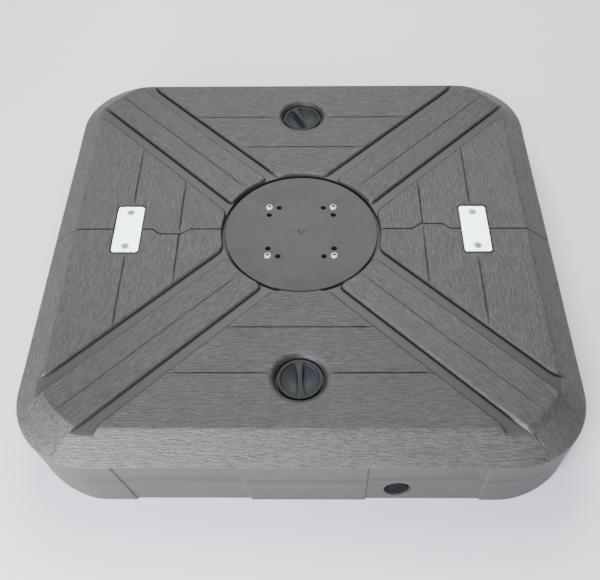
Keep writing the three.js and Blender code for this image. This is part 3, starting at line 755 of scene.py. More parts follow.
def smooth_object(name, mesh, body, nodes, sharp=38):
    """Makes a piece from a closed bmesh in millimetres; it rides on a body and stands for CAD nodes."""
    bmesh.ops.triangulate(mesh, faces=[f for f in mesh.faces if len(f.verts) > 4])
    bmesh.ops.recalc_face_normals(mesh, faces=mesh.faces)
    data = bpy.data.meshes.new(name)
    for vertex in mesh.verts:
        vertex.co *= MM
    mesh.to_mesh(data)
    mesh.free()
    piece = linked(name, data)
    data.shade_smooth()
    data.set_sharp_from_angle(angle=math.radians(sharp))
    weighted = piece.modifiers.new("weighted", "WEIGHTED_NORMAL")
    weighted.keep_sharp = True
    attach(piece, body)
    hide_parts(*nodes)
    return piece


def skin(mesh, rows):
    """Adds the faces between each row of vertices and the next."""
    for near, far in zip(rows, rows[1:]):
        for i in range(len(near)):
            j = (i + 1) % len(near)
            mesh.faces.new((near[i], near[j], far[j], far[i]))


def lofted(loops, ring=False):
    """Skins a row of loops of equal length; it is capped at both ends, or closed round into a ring."""
    mesh = bmesh.new()
    rows = [[mesh.verts.new(p) for p in loop] for loop in loops]
    skin(mesh, rows + rows[:1] if ring else rows)
    if not ring:
        mesh.faces.new(rows[0][::-1])
        mesh.faces.new(rows[-1])
    return mesh


def loop_at(radius, height, count, centre=(0, 0)):
    """A level loop whose radius is a number or a function of the angle."""
    points = []
    for i in range(count):
        angle = 2 * math.pi * i / count
        r = radius(angle) if callable(radius) else radius
        points.append((centre[0] + r * math.cos(angle), centre[1] + r * math.sin(angle), height))
    return points


def turned(profile, count, centre=(0, 0), ring=False):
    return lofted([loop_at(r, z, count, centre) for r, z in profile], ring)


def rounded_edges(low, high, radius, steps=4):
    """(inset, height) pairs up a side whose two edges are rounded."""
    turn = [math.pi / 2 * i / steps for i in range(steps + 1)]
    foot = [(radius * (1 - math.sin(a)), low + radius * (1 - math.cos(a))) for a in turn]
    head = [(radius * (1 - math.cos(a)), high - radius * (1 - math.sin(a))) for a in turn]
    return foot + head


def rounded_ring(inner, outer, low, high, radius, count, centre=(0, 0)):
    sides = rounded_edges(low, high, radius)
    profile = [(outer - inset, z) for inset, z in sides]
    profile += [(inner + inset, z) for inset, z in sides[::-1]]
    return turned(profile, count, centre, ring=True)


def moved(mesh, shift=(0, 0, 0), angle=0.0):
    """Turns a mesh about Z and then shifts it."""
    matrix = Matrix.Translation(shift) @ Matrix.Rotation(angle, 4, "Z")
    bmesh.ops.transform(mesh, matrix=matrix, verts=mesh.verts)
    return mesh


def gathered(meshes):
    """One bmesh holding several that don't touch."""
    whole = meshes[0]
    for other in meshes[1:]:
        data = bpy.data.meshes.new("gathered")
        other.to_mesh(data)
        whole.from_mesh(data)
        bpy.data.meshes.remove(data)
        other.free()
    return whole


def combine(mesh, tool, operation):
    """The boolean of two closed bmeshes."""
    parts = []
    for part in (mesh, tool):
        bmesh.ops.triangulate(part, faces=part.faces)
        bmesh.ops.recalc_face_normals(part, faces=part.faces)
        data = bpy.data.meshes.new("part")
        part.to_mesh(data)
        part.free()
        parts.append(linked("part", data))
    cut = parts[0].modifiers.new("cut", "BOOLEAN")
    cut.object = parts[1]
    cut.operation = operation
    cut.solver = "MANIFOLD"
    evaluated = parts[0].evaluated_get(bpy.context.evaluated_depsgraph_get())
    result = bmesh.new()
    result.from_mesh(evaluated.to_mesh())
    for part in parts:
        data = part.data
        bpy.data.objects.remove(part)
        bpy.data.meshes.remove(data)
    return result


def sheet_between(mesh, outer, holes, height, relief=None, extra=()):
    """Fills the level face between an outer row of vertices and the rows round its holes."""
    rows = [outer] + holes
    vertices = [v for row in rows for v in row]
    edges, first = [], 0
    for row in rows:
        edges += [(first + i, first + (i + 1) % len(row)) for i in range(len(row))]
        first += len(row)
    points = [Vector(v.co.xy) for v in vertices] + [Vector(p) for p in extra]
    vertices += [mesh.verts.new((x, y, height + (relief(x, y) if relief else 0))) for x, y in extra]
    found, _, faces, origin, _, _ = delaunay_2d_cdt(points, edges, [], 0, 1e-4)
    discs = []
    for row in holes:
        middle = sum((v.co.xy for v in row), Vector((0, 0))) / len(row)
        discs.append((middle, (row[0].co.xy - middle).length))
    for face in faces:
        centre = sum((found[i] for i in face), Vector((0, 0))) / 3
        if all((centre - middle).length > radius * 0.999 for middle, radius in discs):
            mesh.faces.new([vertices[origin[i][0]] for i in face])


def slab(outer, sides, holes, relief=None, extra=()):
    """A flat plate: outer(inset) gives the outline's points, sides the (inset, height) pairs from the
    bottom up, and holes a list of (centre, [(radius, height), ...]) with each hole's profile."""
    mesh = bmesh.new()
    rows = [[mesh.verts.new((x, y, z)) for x, y in outer(inset)] for inset, z in sides]
    hole_rows = []
    for centre, profile in holes:
        hole_rows.append([[mesh.verts.new(p) for p in loop_at(r, z, 32, centre)] for r, z in profile])
    for column in [rows] + hole_rows:
        skin(mesh, column)
    sheet_between(mesh, rows[0], [column[0] for column in hole_rows], sides[0][1])
    sheet_between(mesh, rows[-1], [column[-1] for column in hole_rows], sides[-1][1], relief, extra)
    return mesh


def round_outline(radius, count):
    return lambda inset: [p[:2] for p in loop_at(radius - inset, 0, count)]


def rectangle_outline(width, length, corner, centre=(0, 0)):
    core = (width / 2 - corner, length / 2 - corner)
    return lambda inset: rounded_rectangle(core, corner - inset, centre, 8)


# ---- The two tanks ----

def thread_bump(angle, height, start):
    """How far a thread of one and a quarter turns stands out at an angle and height."""
    best = 0.0
    for turn in (0, 1):
        along = angle / (2 * math.pi) + turn
        if along <= THREAD_TURNS:
            distance = abs(height - start - THREAD_PITCH * along)
            ends = min(1, along / 0.04, (THREAD_TURNS - along) / 0.04)
            best = max(best, ends * math.cos(min(distance / THREAD_RIDGE, 1) * math.pi / 2))
    return THREAD_RIDGE * best ** 0.7


def neck():
    """The filler neck: a tube with its thread inside, whose top is the gasket's seat."""
    start = -THREAD_START - THREAD_PITCH
    heights = np.linspace(-NECK_LENGTH, -1, 48)
    loops = [loop_at(NECK_OUTER, z, 120) for z in (-NECK_LENGTH, -0.8, -0.02)]
    for inset, z in ((0.0, -0.02), (0.3, -0.1), (0.8, -0.5)):
        loops.append(loop_at(NECK_BORE + 0.8 - inset, z, 120))
    for z in heights[::-1]:
        loops.append(loop_at(lambda angle, z=z: NECK_BORE - thread_bump(angle, z, start), z, 120))
    return moved(lofted(loops, ring=True), (0, -CAP_Y, SEAT))


def inner_outline(inset, growth=0):
    """The tank's inner outline for the front half, seen from above."""
    edge = HALF - inset
    corner = WALL_CORNER - inset + growth
    seam = -TOOTH_DEPTH - GAP - WALL
    points = [(edge, seam)]
    for quarter, side in ((0, 1), (1, -1)):
        for i in range(13):
            angle = -math.pi / 2 * (quarter + i / 12)
            points.append((side * (edge - corner) + corner * math.cos(angle),
                           corner - edge + corner * math.sin(angle)))
    points.append((-edge, seam))
    return points


def cavity():
    """The tank's inside, round the well's wall, without its openings."""
    loops = []
    for inset, growth, z in ((CAVITY_INSET, CAVITY_FOOT_GROWTH, WALL), (CAVITY_INSET, 0, CAVITY_SHOULDER),
                             (CHAMFER_OUT, 0, CAVITY_TOP)):
        loops.append([(x, y, z) for x, y in inner_outline(inset, growth)])
    core = turned([(WELL_FOOT_RADIUS + WALL, 0), (WELL_FOOT_RADIUS + WALL, DECK)], 96)
    return combine(lofted(loops), core, "DIFFERENCE")


def well():
    """A tool for the round well under the middle, whose foot is flared and whose ceiling is filleted."""
    fillet = []
    for a in np.linspace(0, math.pi / 2, 7):
        fillet.append((WELL_TOP_RADIUS - WELL_FILLET * (1 - math.cos(a)),
                       WELL_CEILING - WELL_FILLET * (1 - math.sin(a))))
    profile = [(WELL_FOOT_RADIUS + 5, -6), (WELL_FOOT_RADIUS + 5, -1), (WELL_FOOT_RADIUS + 2.5, 0)]
    return turned(profile + [(WELL_FOOT_RADIUS, 3)] + fillet, 144)


def drain_hole():
    """A tool from the drain's recess into the tank's inside."""
    loops = []
    for y in (-HALF + 4, -HALF + CAVITY_INSET + 4):
        loop = loop_at(DRAIN_HOLE, 0, 64)
        loops.append([(DRAIN_X + x, y, DRAIN_Z + z) for x, z, _ in loop])
    return lofted(loops)


def small_bores():
    """The flange's bolt holes and the pockets for the threaded inserts."""
    places = [(side * x, -y) for side in (-1, 1) for x, y in BOLT_PLACES + SPARE_PLACES]
    profile = [(SPARE_HOLE, WELL_CEILING - 2), (SPARE_HOLE, RECESS_FLOOR + 2)]
    bores = [turned(profile, 32, place) for place in places]
    low, high = box_mm("threaded_insert_1")
    radius = (high[0] - low[0]) / 2 + GAP
    for side in (-1, 1):
        place = (side * PLATE_X, -SCREW_Y)
        bores.append(turned([(radius, low[2] - GAP), (radius, PLATE_FLOOR + 2)], 32, place))
    return gathered(bores)


def tank():
    """The front half, in millimetres. Its hollow reaches the outside before it is cut, so that the cut
    leaves one closed surface."""
    mesh = half_body()
    mesh = combine(mesh, well(), "DIFFERENCE")
    mesh = combine(mesh, small_bores(), "DIFFERENCE")
    bore = turned([(NECK_BORE + 2, SEAT - NECK_LENGTH), (NECK_BORE + 2, SEAT + 2)], 120, (0, -CAP_Y))
    hollow = combine(combine(cavity(), drain_hole(), "UNION"), bore, "UNION")
    mesh = combine(mesh, hollow, "DIFFERENCE")
    return combine(mesh, neck(), "UNION")


def make_tanks():
    front = tank()
    rear = front.copy()
    moved(rear, angle=math.pi)
    pieces = []
    for half, mesh in (("front", front), ("rear", rear)):
        pieces.append(smooth_object(f"{half}_tank", mesh, "root", [f"{half}_shell"]))
        mark_grain(pieces[-1].data)
    return pieces


def mark(data, name, values):
    """Stores a number for each vertex."""
    layer = data.attributes.new(name, "FLOAT", "POINT")
    layer.data.foreach_set("value", np.array(values, dtype=np.float32))


def grain_strength(x, y, z, facing):
    """How strongly the moulded wood grain shows: on the boards and planks, and not in their channels."""
    grain = np.where((z > WALL_TOP) & (facing > 0.3), 1.0, 0.0)
    grain *= 1 - np.clip(channel_depth(x, y) / 5, 0, 1)
    grain *= (np.hypot(x, y) > RECESS_RADIUS + RECESS_ROUND / 2) & (end_corner_share(x, y) < 0.9)
    return grain * smooth_step((np.hypot(x, np.abs(y) - CAP_Y) - DISH_FOOT - 2) / 4)


def crease_shade_strength(x, y, z, facing):
    """How much painted shade darkens a point in a channel's wall, a groove, the seam, a dish, the parting
    line or round a plate's pocket.
    """
    crease_shade = CHANNEL_WALL_SHADE * smooth_step((DECK - 0.8 - z) / 2.2) * smooth_step((0.98 - facing) / 0.2)
    crease_shade *= (deck_distance(x, y) < 6) & (facing > -0.5)
    for start, end, _ in GROOVES:
        for side in (-1, 1):
            distance, _ = segment_distance(side * x, side * y, start, end)
            crease_shade = np.maximum(crease_shade, np.clip(1.05 - distance / GROOVE_HALF, 0, 1))
    crease_shade = np.maximum(crease_shade, 1 - np.clip((seam_distance(x, y) - GAP) / 2, 0, 1))
    from_cap = np.hypot(x, np.abs(y) - CAP_Y)
    crease_shade = np.maximum(crease_shade, 1 - smooth_step((from_cap - DISH_FOOT + 1) / (DISH_TOP - DISH_FOOT + 1)))
    for i in np.flatnonzero((z < WALL_TOP) & (np.abs(facing) < 0.5) & (deck_distance(x, y) > 35)):
        side = -1 if y[i] > 0 else 1
        s = outline_run(side * x[i], side * y[i])
        crease_shade[i] = max(0, 1 - abs(z[i] - parting_height(s)) / 1.5)
    pocket = plate_distance(x, y)
    crease_shade = np.maximum(crease_shade, np.clip(1 - np.abs(pocket) / 1.6, 0, 1) * (z > PLATE_FLOOR - 1))
    return crease_shade * ((z > RECESS_FLOOR + 1) | (deck_distance(x, y) > 35))


def mark_grain(data):
    """Stores the painted shade in the tank's creases, and its grain along each of the four directions it
    runs in.
    """
    points = np.empty(len(data.vertices) * 3)
    normals = np.empty(len(data.vertices) * 3)
    data.vertices.foreach_get("co", points)
    data.vertices.foreach_get("normal", normals)
    x, y, z = (points.reshape(-1, 3) / MM).T
    facing = normals.reshape(-1, 3)[:, 2]
    grain = grain_strength(x, y, z, facing)
    plank = arm_offset(x, y) < PLANK_HALF + EDGE_RUN / 2
    along_y = np.abs(x) > np.abs(y)
    mark(data, "grain_x", grain * ~plank * ~along_y)
    mark(data, "grain_y", grain * ~plank * along_y)
    mark(data, "grain_rising", grain * plank * (x * y > 0))
    mark(data, "grain_falling", grain * plank * (x * y <= 0))
    mark(data, "crease_shade", crease_shade_strength(x, y, z, facing))


# ---- Mounting disc, bolts and what holds them ----

def gate_ring(x, y):
    """How strongly a point lies on the ragged ring of the moulding gate's scar, mid-disc."""
    turn = math.atan2(y, x)
    ragged = 1 + 0.18 * math.sin(3 * turn + 0.6) + 0.1 * math.sin(7 * turn)
    return math.exp(-((math.hypot(x, y) - 5 * ragged) / 1.3) ** 2)


def gate_relief(x, y):
    """The scar's relief: a groove round a raised stub."""
    stub = math.exp(-(math.hypot(x - 0.9, y + 0.4) / 1.4) ** 2)
    return -0.8 * gate_ring(x, y) - 0.9 * math.exp(-(math.hypot(x, y) / 3.6) ** 2) * (1 - stub)


def bolt_holes(profile):
    """The twelve bolt holes of a plate, for slab(); profile gives the (radius, height) pairs by size."""
    holes = []
    for sx in (-1, 1):
        for sy in (-1, 1):
            for places, size in ((BOLT_PLACES, BOLT_HOLE), (SPARE_PLACES, SPARE_HOLE)):
                holes += [((sx * x, sy * y), profile(size)) for x, y in places]
    return holes


def mounting_disc():
    low, high = box_mm("mounting_disc")

    def hole(size):
        return [(size + 0.4, low[2]), (size, low[2] + 0.4), (size, high[2] - 0.7),
                (size + 0.2, high[2] - 0.2), (size + 0.7, high[2])]

    extra = [(r * math.cos(a), r * math.sin(a)) for r in np.arange(0.5, 8, 0.5)
             for a in np.linspace(0, 2 * math.pi, 24, endpoint=False)]
    extra += [(r * math.cos(a), r * math.sin(a)) for r in (20, 105, 120, 135)
              for a in np.linspace(0, 2 * math.pi, 36, endpoint=False)]
    sides = rounded_edges(low[2], high[2], 1.4)
    mesh = slab(round_outline(high[0], 192), sides, bolt_holes(hole), gate_relief, extra)
    piece = smooth_object("mast_disc", mesh, "root", ["mounting_disc"])
    # Painted shade in the gate scar's groove: the ring is stored as a hollow.
    mark(piece.data, "hollow", [gate_ring(*(vertex.co.xy / MM)) for vertex in piece.data.vertices])
    return piece


def hexagon(across, most=None):
    """A hexagon's radius as a function of the angle, cut off at a largest radius."""
    def radius(angle):
        turn = (angle + math.pi / 6) % (math.pi / 3) - math.pi / 6
        r = across / 2 / math.cos(turn)
        return min(r, most) if most else r
    return radius


def screw_thread(radius, depth, height):
    """The radius of a fine thread, as a function of the angle, at a height."""
    def at(angle):
        phase = (height / SCREW_PITCH - angle / (2 * math.pi)) % 1
        return radius - depth * abs(2 * phase - 1)
    return at


def threaded_shank(radius, low, high, centre):
    """Loops up a screw's shank, from its end to the top of its thread."""
    loops = [loop_at(radius - 1, low, 48, centre)]
    for z in np.arange(low + 0.8, high, 0.25):
        loops.append(loop_at(screw_thread(radius - 0.03, 0.6, z), z, 48, centre))
    return loops


def mast_bolt(number):
    cad = f"mast_bolt_{number}"
    (low, high), centre = box_mm(cad), centre_mm(cad)[:2]
    head, base = (high[0] - low[0]) / 2, high[2] - BOLT_HEAD
    loops = threaded_shank(BOLT_SHANK, low[2], base - 6, centre)
    loops += [loop_at(BOLT_SHANK - 0.05, z, 48, centre) for z in (base - 5.5, base)]
    dome = [(head - 0.3, 0), (head, 0.3), (head, 0.9)]
    dome += [(head * math.cos(a) ** 0.8, 0.9 + (BOLT_HEAD - 0.9) * math.sin(a))
             for a in np.radians((15, 30, 43, 53))]
    crown = head * 0.56
    dome += [(crown + 0.25, BOLT_HEAD), (crown, BOLT_HEAD - 0.02)]
    loops += [loop_at(r, base + z, 48, centre) for r, z in dome]
    for z, grow in ((-0.12, 0.25), (-0.4, 0), (-2.5, 0)):
        loops.append(loop_at(hexagon(SOCKET_ACROSS + grow), high[2] + z, 48, centre))
    loops.append(loop_at(1.0, high[2] - 3.0, 48, centre))
    piece = smooth_object(f"bolt_{number}", lofted(loops), "root", [cad], 32)

    # Painted shade: the socket is darker inside.
    def in_socket(x, y, z):
        return math.hypot(x - centre[0], y - centre[1]) < crown * 0.95 and z < high[2] - 0.1

    mark(piece.data, "hollow", [in_socket(*(vertex.co / MM)) for vertex in piece.data.vertices])
    return piece


def hex_nut(number):
    cad = f"bolt_nut_{number}"
    (low, high), centre = box_mm(cad), centre_mm(cad)[:2]
    width, length = (high - low)[:2]
    across, widest = min(width, length), max(width, length) / 2
    turn = math.pi / 6 if width > length else 0

    def side(most):
        return lambda angle: hexagon(across, most)(angle + turn)

    ends = [(0, across / 2 - 0.1), (0.5, across / 2 + 0.45), (0.9, widest)]
    loops = [loop_at(side(most), low[2] + inward, 72, centre) for inward, most in ends]
    loops += [loop_at(side(most), high[2] - inward, 72, centre) for inward, most in ends[::-1]]
    bore = BOLT_SHANK + 0.25
    loops.append(loop_at(bore + 0.5, high[2], 72, centre))
    for z in np.arange(high[2] - 0.5, low[2] + 0.5, -0.35):
        loops.append(loop_at(screw_thread(bore + 0.35, 0.35, z), z, 72, centre))
    loops.append(loop_at(bore + 0.5, low[2], 72, centre))
    return smooth_object(f"nut_{number}", lofted(loops, ring=True), "root", [cad], 30)


def washer(number):
    cad = f"bolt_washer_{number}"
    (low, high), centre = box_mm(cad), centre_mm(cad)[:2]
    mesh = rounded_ring(BOLT_SHANK + GAP, (high[0] - low[0]) / 2, low[2], high[2], 0.3, 64, centre)
    return smooth_object(f"washer_{number}", mesh, "root", [cad])


def backing_plate():
    low, high = box_mm("backing_plate")

    def hole(size):
        return [(size + 0.3, low[2]), (size, low[2] + 0.3), (size, high[2] - 0.3), (size + 0.3, high[2])]

    outer = rectangle_outline(high[0] - low[0], high[1] - low[1], BACKING_CORNER)
    mesh = slab(outer, rounded_edges(low[2], high[2], 0.5), bolt_holes(hole))
    return smooth_object("clamp_plate", mesh, "root", ["backing_plate"])


# ---- Joining plates, their screws and inserts ----

def joining_plate(name):
    low, high = box_mm(f"{name}_joining_plate")
    x, top, bore = (low[0] + high[0]) / 2, high[2], SCREW_SHANK + GAP
    profile = [(SCREW_SHANK + 0.6, low[2]), (bore, low[2] + 0.3), (bore, top - 3.5),
               (SCREW_HEAD + 0.2, top - 0.15), (SCREW_HEAD + 0.5, top)]
    outer = rectangle_outline(high[0] - low[0], high[1] - low[1], PLATE_CORNER, (x, 0))
    mesh = slab(outer, rounded_edges(low[2], top, 0.7), [((x, y), profile) for y in (-SCREW_Y, SCREW_Y)])
    return smooth_object(f"{name}_plate", mesh, "root", [f"{name}_joining_plate"])


def cross_slot(centre, top):
    """A tool for the cross recess in a screw's head."""
    bars = []
    for turn in (0, math.pi / 2):
        loops = []
        for grow, z in ((-0.5, top - 2), (0, top - 0.4), (0.3, top + 0.5)):
            long, wide = SLOT_LENGTH / 2 + grow, SLOT_WIDTH / 2 + grow * 0.4
            loops.append([(sx * long, sy * wide, z) for sx, sy in ((1, 1), (-1, 1), (-1, -1), (1, -1))])
        bars.append(moved(lofted(loops), (centre[0], centre[1], 0), turn + math.radians(SLOT_TURN)))
    return combine(bars[0], bars[1], "UNION")


def joining_screw(number):
    cad = f"joining_screw_{number}"
    (low, high), centre = box_mm(cad), centre_mm(cad)[:2]
    top = high[2]
    loops = threaded_shank(SCREW_SHANK, low[2], top - 5, centre)
    head = [(SCREW_SHANK - 0.05, top - 4.6), (SCREW_SHANK - 0.05, top - 3.6),
            (SCREW_HEAD - 0.1, top - 0.35), (SCREW_HEAD - 0.05, top - 0.12),
            (SCREW_HEAD - 0.5, top), (SCREW_HEAD * 0.6, top)]
    loops += [loop_at(r, z, 48, centre) for r, z in head]
    mesh = combine(lofted(loops), cross_slot(centre, top), "DIFFERENCE")
    return smooth_object(f"screw_{number}", mesh, "root", [cad], 32)


def knurled_insert(number):
    """A threaded sleeve with two knurled bands."""
    cad = f"threaded_insert_{number}"
    (low, high), centre = box_mm(cad), centre_mm(cad)[:2]
    radius = (high[0] - low[0]) / 2 - 0.05

    def knurl(z):
        bands = 1.0 if 1.2 < z - low[2] < 7 or 8.6 < z - low[2] < 14.4 else 0.0
        return lambda angle: radius - 0.5 + bands * 0.5 * abs(math.sin(18 * angle + (z - low[2]) * 1.1))

    loops = [loop_at(knurl(z), z, 108, centre) for z in np.linspace(low[2], high[2], 28)]
    bore = SCREW_SHANK + 0.25
    loops += [loop_at(bore + 0.4, high[2], 108, centre)]
    for z in np.arange(high[2] - 0.6, low[2] + 0.5, -0.5):
        loops.append(loop_at(screw_thread(bore + 0.3, 0.3, z), z, 108, centre))
    loops.append(loop_at(bore + 0.4, low[2], 108, centre))
    return smooth_object(f"insert_{number}", lofted(loops, ring=True), "root", [cad])


# ---- Filler caps, gaskets and drain bungs ----

def cap_height(x, y):
    """Height of the cap's top over its rim's foot plane, with the grip bar along Y."""
    r = np.hypot(x, y)
    bowl = RIM_TOP - 0.4 - BOWL_DEPTH * np.clip(1 - (r / BOWL_RADIUS) ** 2.6, 0, 1) ** 0.75
    inner_edge = 1 - np.sqrt(np.clip(1 - ((BOWL_RADIUS + RIM_ROUND - r) / RIM_ROUND) ** 2, 0, 1))
    rim_in = np.where(r > BOWL_RADIUS + RIM_ROUND, RIM_TOP, RIM_TOP - RIM_ROUND * inner_edge)
    edge = np.clip((r - (RIM_RADIUS - RIM_ROUND)) / RIM_ROUND, 0, 1)
    rim = rim_in - RIM_ROUND * (1 - np.sqrt(1 - edge ** 2))
    base = np.where(r < BOWL_RADIUS, np.minimum(bowl, RIM_TOP), rim)
    side = np.abs(x) - bar_half(y)
    top = BAR_TOP - 0.9 * np.clip((side + BAR_ROUND) / BAR_ROUND, 0, 1) ** 2
    bar = top - (top - base) * smooth_step(side / BAR_RUN)
    return np.where(r < BOWL_RADIUS + RIM_ROUND, np.maximum(base, bar), base)


def bar_half(y):
    """Half the width of the cap's grip bar, which has a waist."""
    return (BAR_WAIST + (BAR_END - BAR_WAIST) * (y / BAR_REACH) ** 2) / 2


def cap_curves():
    """Plan curves round the cap's rim and bowl and along both sides of its grip bar."""
    radii = [RIM_RADIUS - back for back in (1.3, 0.9, 0.5, 0.2)]
    radii += [BOWL_RADIUS + out for out in (0, 0.35, 0.7, RIM_ROUND)]
    curves = [circle(0, 0, r, CAP_POINTS) for r in radii]
    curves += [circle(0, 0, r, 96) for r in (34.8, 34.2, 33.2, 31.8, 30, 27.5, 24, 20, 16)]
    ys = np.linspace(-BOWL_RADIUS, BOWL_RADIUS, 41)
    for side in (-1, 1):
        for step in (-BAR_ROUND, -0.7, -0.35, 0, 0.15, 0.35, 0.6, 0.85, 1.0):
            shift = step * BAR_RUN if step > 0 else step
            curves.append([(side * (float(bar_half(y)) + shift), float(y)) for y in ys])
    return curves


def fill_cap(half):
    low = box_mm(f"{half}_fill_cap")[0]
    rim = [p[:2] for p in loop_at(RIM_RADIUS, 0, CAP_POINTS)]
    plan, faces = planar_mesh(cap_curves(), rim, lambda x, y: np.hypot(x, y) < RIM_RADIUS, 4)
    heights = cap_height(plan[:, 0], plan[:, 1])
    mesh = bmesh.new()
    top = [mesh.verts.new((x, y, z)) for (x, y), z in zip(plan, heights)]
    for face in faces:
        mesh.faces.new([top[i] for i in face])
    edge = [top[i] for i in boundary_vertices(faces)]
    rows = [sorted(edge, key=lambda v: math.atan2(v.co.y, v.co.x) % (2 * math.pi))]
    angles = [math.atan2(v.co.y, v.co.x) for v in rows[0]]
    start = -THREAD_START - THREAD_PITCH / 2

    def add_row(radius, z):
        radii = [radius(angle) if callable(radius) else radius for angle in angles]
        rows.append([mesh.verts.new((r * math.cos(a), r * math.sin(a), z)) for r, a in zip(radii, angles)])

    for r, z in ((RIM_RADIUS, RIM_TOP - 2), (RIM_RADIUS, RIM_FOOT + 0.7),
                 (RIM_RADIUS - 0.3, RIM_FOOT + 0.15), (RIM_RADIUS - 0.8, RIM_FOOT),
                 (PLUG_RADIUS + 0.8, RIM_FOOT), (PLUG_RADIUS + 0.2, RIM_FOOT - 0.3)):
        add_row(r, z)
    for z in np.linspace(RIM_FOOT - 1, 2 - CAP_DEPTH, 46):
        add_row(lambda angle, z=z: PLUG_RADIUS + thread_bump(angle % (2 * math.pi), z, start), z)
    for r, z in ((PLUG_RADIUS - 0.6, 0.6 - CAP_DEPTH), (PLUG_RADIUS - 2, -CAP_DEPTH)):
        add_row(r, z)
    skin(mesh, rows)
    mesh.faces.new(rows[-1])
    side = -1 if half == "front" else 1
    turn = (0 if half == "front" else math.pi) + math.radians(CAP_TURN[half])
    moved(mesh, (0, side * CAP_Y, low[2] + CAP_DEPTH), turn)
    piece = smooth_object(f"{half}_cap", mesh, f"{half}_cap", [f"{half}_fill_cap"], 40)
    # Painted shade: the rim's side, and the raised tops of the rim and grip bar, are painted darker than
    # the bowls.
    raised = low[2] + CAP_DEPTH + BAR_TOP - 1.5

    def shade(x, y, z):
        return 1.5 if math.hypot(x, y - side * CAP_Y) > RIM_RADIUS - 0.35 else float(z > raised)

    mark(piece.data, "hollow", [shade(*(vertex.co / MM)) for vertex in piece.data.vertices])
    return piece


def cap_gasket(half):
    cad = f"{half}_cap_gasket"
    (low, high), centre = box_mm(cad), centre_mm(cad)[:2]
    mesh = rounded_ring(GASKET_INNER, (high[0] - low[0]) / 2, low[2], high[2], 0.8, 144, centre)
    return smooth_object(f"{half}_gasket", mesh, f"{half}_gasket", [cad])


def bung_outline(inset):
    """The bung head's radius as a function of the angle: a disc with a pull tab to the left."""
    def at(angle):
        run, rise = -math.cos(angle), abs(math.sin(angle))
        tab = min(BUNG_TAB_REACH / max(run, 1e-6), BUNG_TAB_HALF / max(rise, 1e-6)) if run > 0 else 0
        return max(BUNG_RADIUS, tab) - inset
    return at


def drain_bung(half):
    """A ribbed plug along Y, whose dished head has a pull tab."""
    low, high = box_mm(f"{half}_drain_bung")
    length = high[1] - low[1] - BUNG_HEAD
    profile = [(11.1, length), (12.4, length - 0.8), (13.05, length - 2.2), (12.5, length - 3.6),
               (12.5, 8.4), (13.05, 7.6), (12.5, 6.4), (12.5, 3), (13.0, 1.2), (13.6, 0.05)]
    loops = [loop_at(r, z, 120) for r, z in profile]
    face = -BUNG_HEAD
    for inset, z in ((0.5, 0), (0.1, -0.3), (0, -0.8), (0, face + 1), (0.3, face + 0.3), (1.0, face),
                     (2.6, face), (3.4, face + 0.5), (4.4, face + 0.9)):
        loops.append(loop_at(bung_outline(inset), z, 120))
    for r, z in ((9, face + 1.1), (5.5, face + 1.0), (4.9, face + 0.4), (4.2, face + 0.1), (1, face + 0.1)):
        loops.append(loop_at(r, z, 120))
    mesh = lofted([[(x, z, y) for x, y, z in loop] for loop in loops])
    side = -1 if half == "front" else 1
    back = low[1] + BUNG_HEAD if half == "front" else high[1] - BUNG_HEAD
    moved(mesh, (-side * DRAIN_X, back, DRAIN_Z), 0 if half == "front" else math.pi)
    return smooth_object(f"{half}_bung", mesh, f"{half}_bung", [f"{half}_drain_bung"], 40)


# ---- Materials ----

def new_material(name, roughness, metallic=0.0):
    made = bpy.data.materials.new(name)
    made.use_nodes = True
    shader = made.node_tree.nodes["Principled BSDF"]
    shader.inputs["Roughness"].default_value = roughness
    shader.inputs["Metallic"].default_value = metallic
    return made, made.node_tree, shader


def node(tree, kind, sockets=None, **settings):
    """Adds a node; each socket takes a number, a colour or another node's output."""
    made = tree.nodes.new(kind)
    for key, value in settings.items():
        setattr(made, key, value)
    for key, value in (sockets or {}).items():
        if isinstance(value, bpy.types.NodeSocket):
            tree.links.new(value, made.inputs[key])
        else:
            made.inputs[key].default_value = value
    return made


def arithmetic(operation):
    def apply(tree, a, b):
        return node(tree, "ShaderNodeMath", {0: a, 1: b}, operation=operation).outputs[0]
    return apply


plus, minus, times = arithmetic("ADD"), arithmetic("SUBTRACT"), arithmetic("MULTIPLY")


def marked(tree, name):
    """The number that mark() stored."""
    return node(tree, "ShaderNodeAttribute", attribute_name=name).outputs["Fac"]


# Painted shade: the colour is darkened where a hollow is marked.
def paint_hollow_shade(tree, colour, shade):
    unshaded = minus(tree, 1.0, times(tree, marked(tree, "hollow"), shade))
    return node(tree, "ShaderNodeVectorMath", {0: colour, 1: unshaded}, operation="MULTIPLY").outputs[0]


def noise(tree, place, scale, detail=3.0, roughness=0.55, distortion=0.0):
    sockets = {"Vector": place, "Scale": scale, "Detail": detail}
    sockets |= {"Roughness": roughness, "Distortion": distortion}
    return node(tree, "ShaderNodeTexNoise", sockets).outputs["Fac"]


def stretched(tree, place, scale, turn=0.0):
    """The place turned about Z and then scaled along each axis, for a pattern that runs one way."""
    turned_place = node(tree, "ShaderNodeMapping", {"Vector": place, "Rotation": (0, 0, turn)}).outputs[0]
    return node(tree, "ShaderNodeMapping", {"Vector": turned_place, "Scale": scale}).outputs[0]


def spread(tree, value, low, high, to_low=0.0, to_high=1.0):
    sockets = {"Value": value, "From Min": low, "From Max": high, "To Min": to_low, "To Max": to_high}
    return node(tree, "ShaderNodeMapRange", sockets).outputs[0]


def shades(tree, value, name):
    """A colour between the darkest and the lightest of a material."""
    dark, light = COLOURS[name]
    ramp = node(tree, "ShaderNodeValToRGB", {"Fac": value})
    ramp.color_ramp.elements[0].color = (*dark, 1)
    ramp.color_ramp.elements[1].color = (*light, 1)
    return ramp.outputs["Color"]


def object_place(tree):
    return node(tree, "ShaderNodeTexCoord").outputs["Object"]


def bump(tree, shader, height, depth):
    """Adds relief whose full height is depth, in metres."""
    made = node(tree, "ShaderNodeBump", {"Height": height, "Distance": depth, "Strength": 1.0})
    tree.links.new(made.outputs["Normal"], shader.inputs["Normal"])


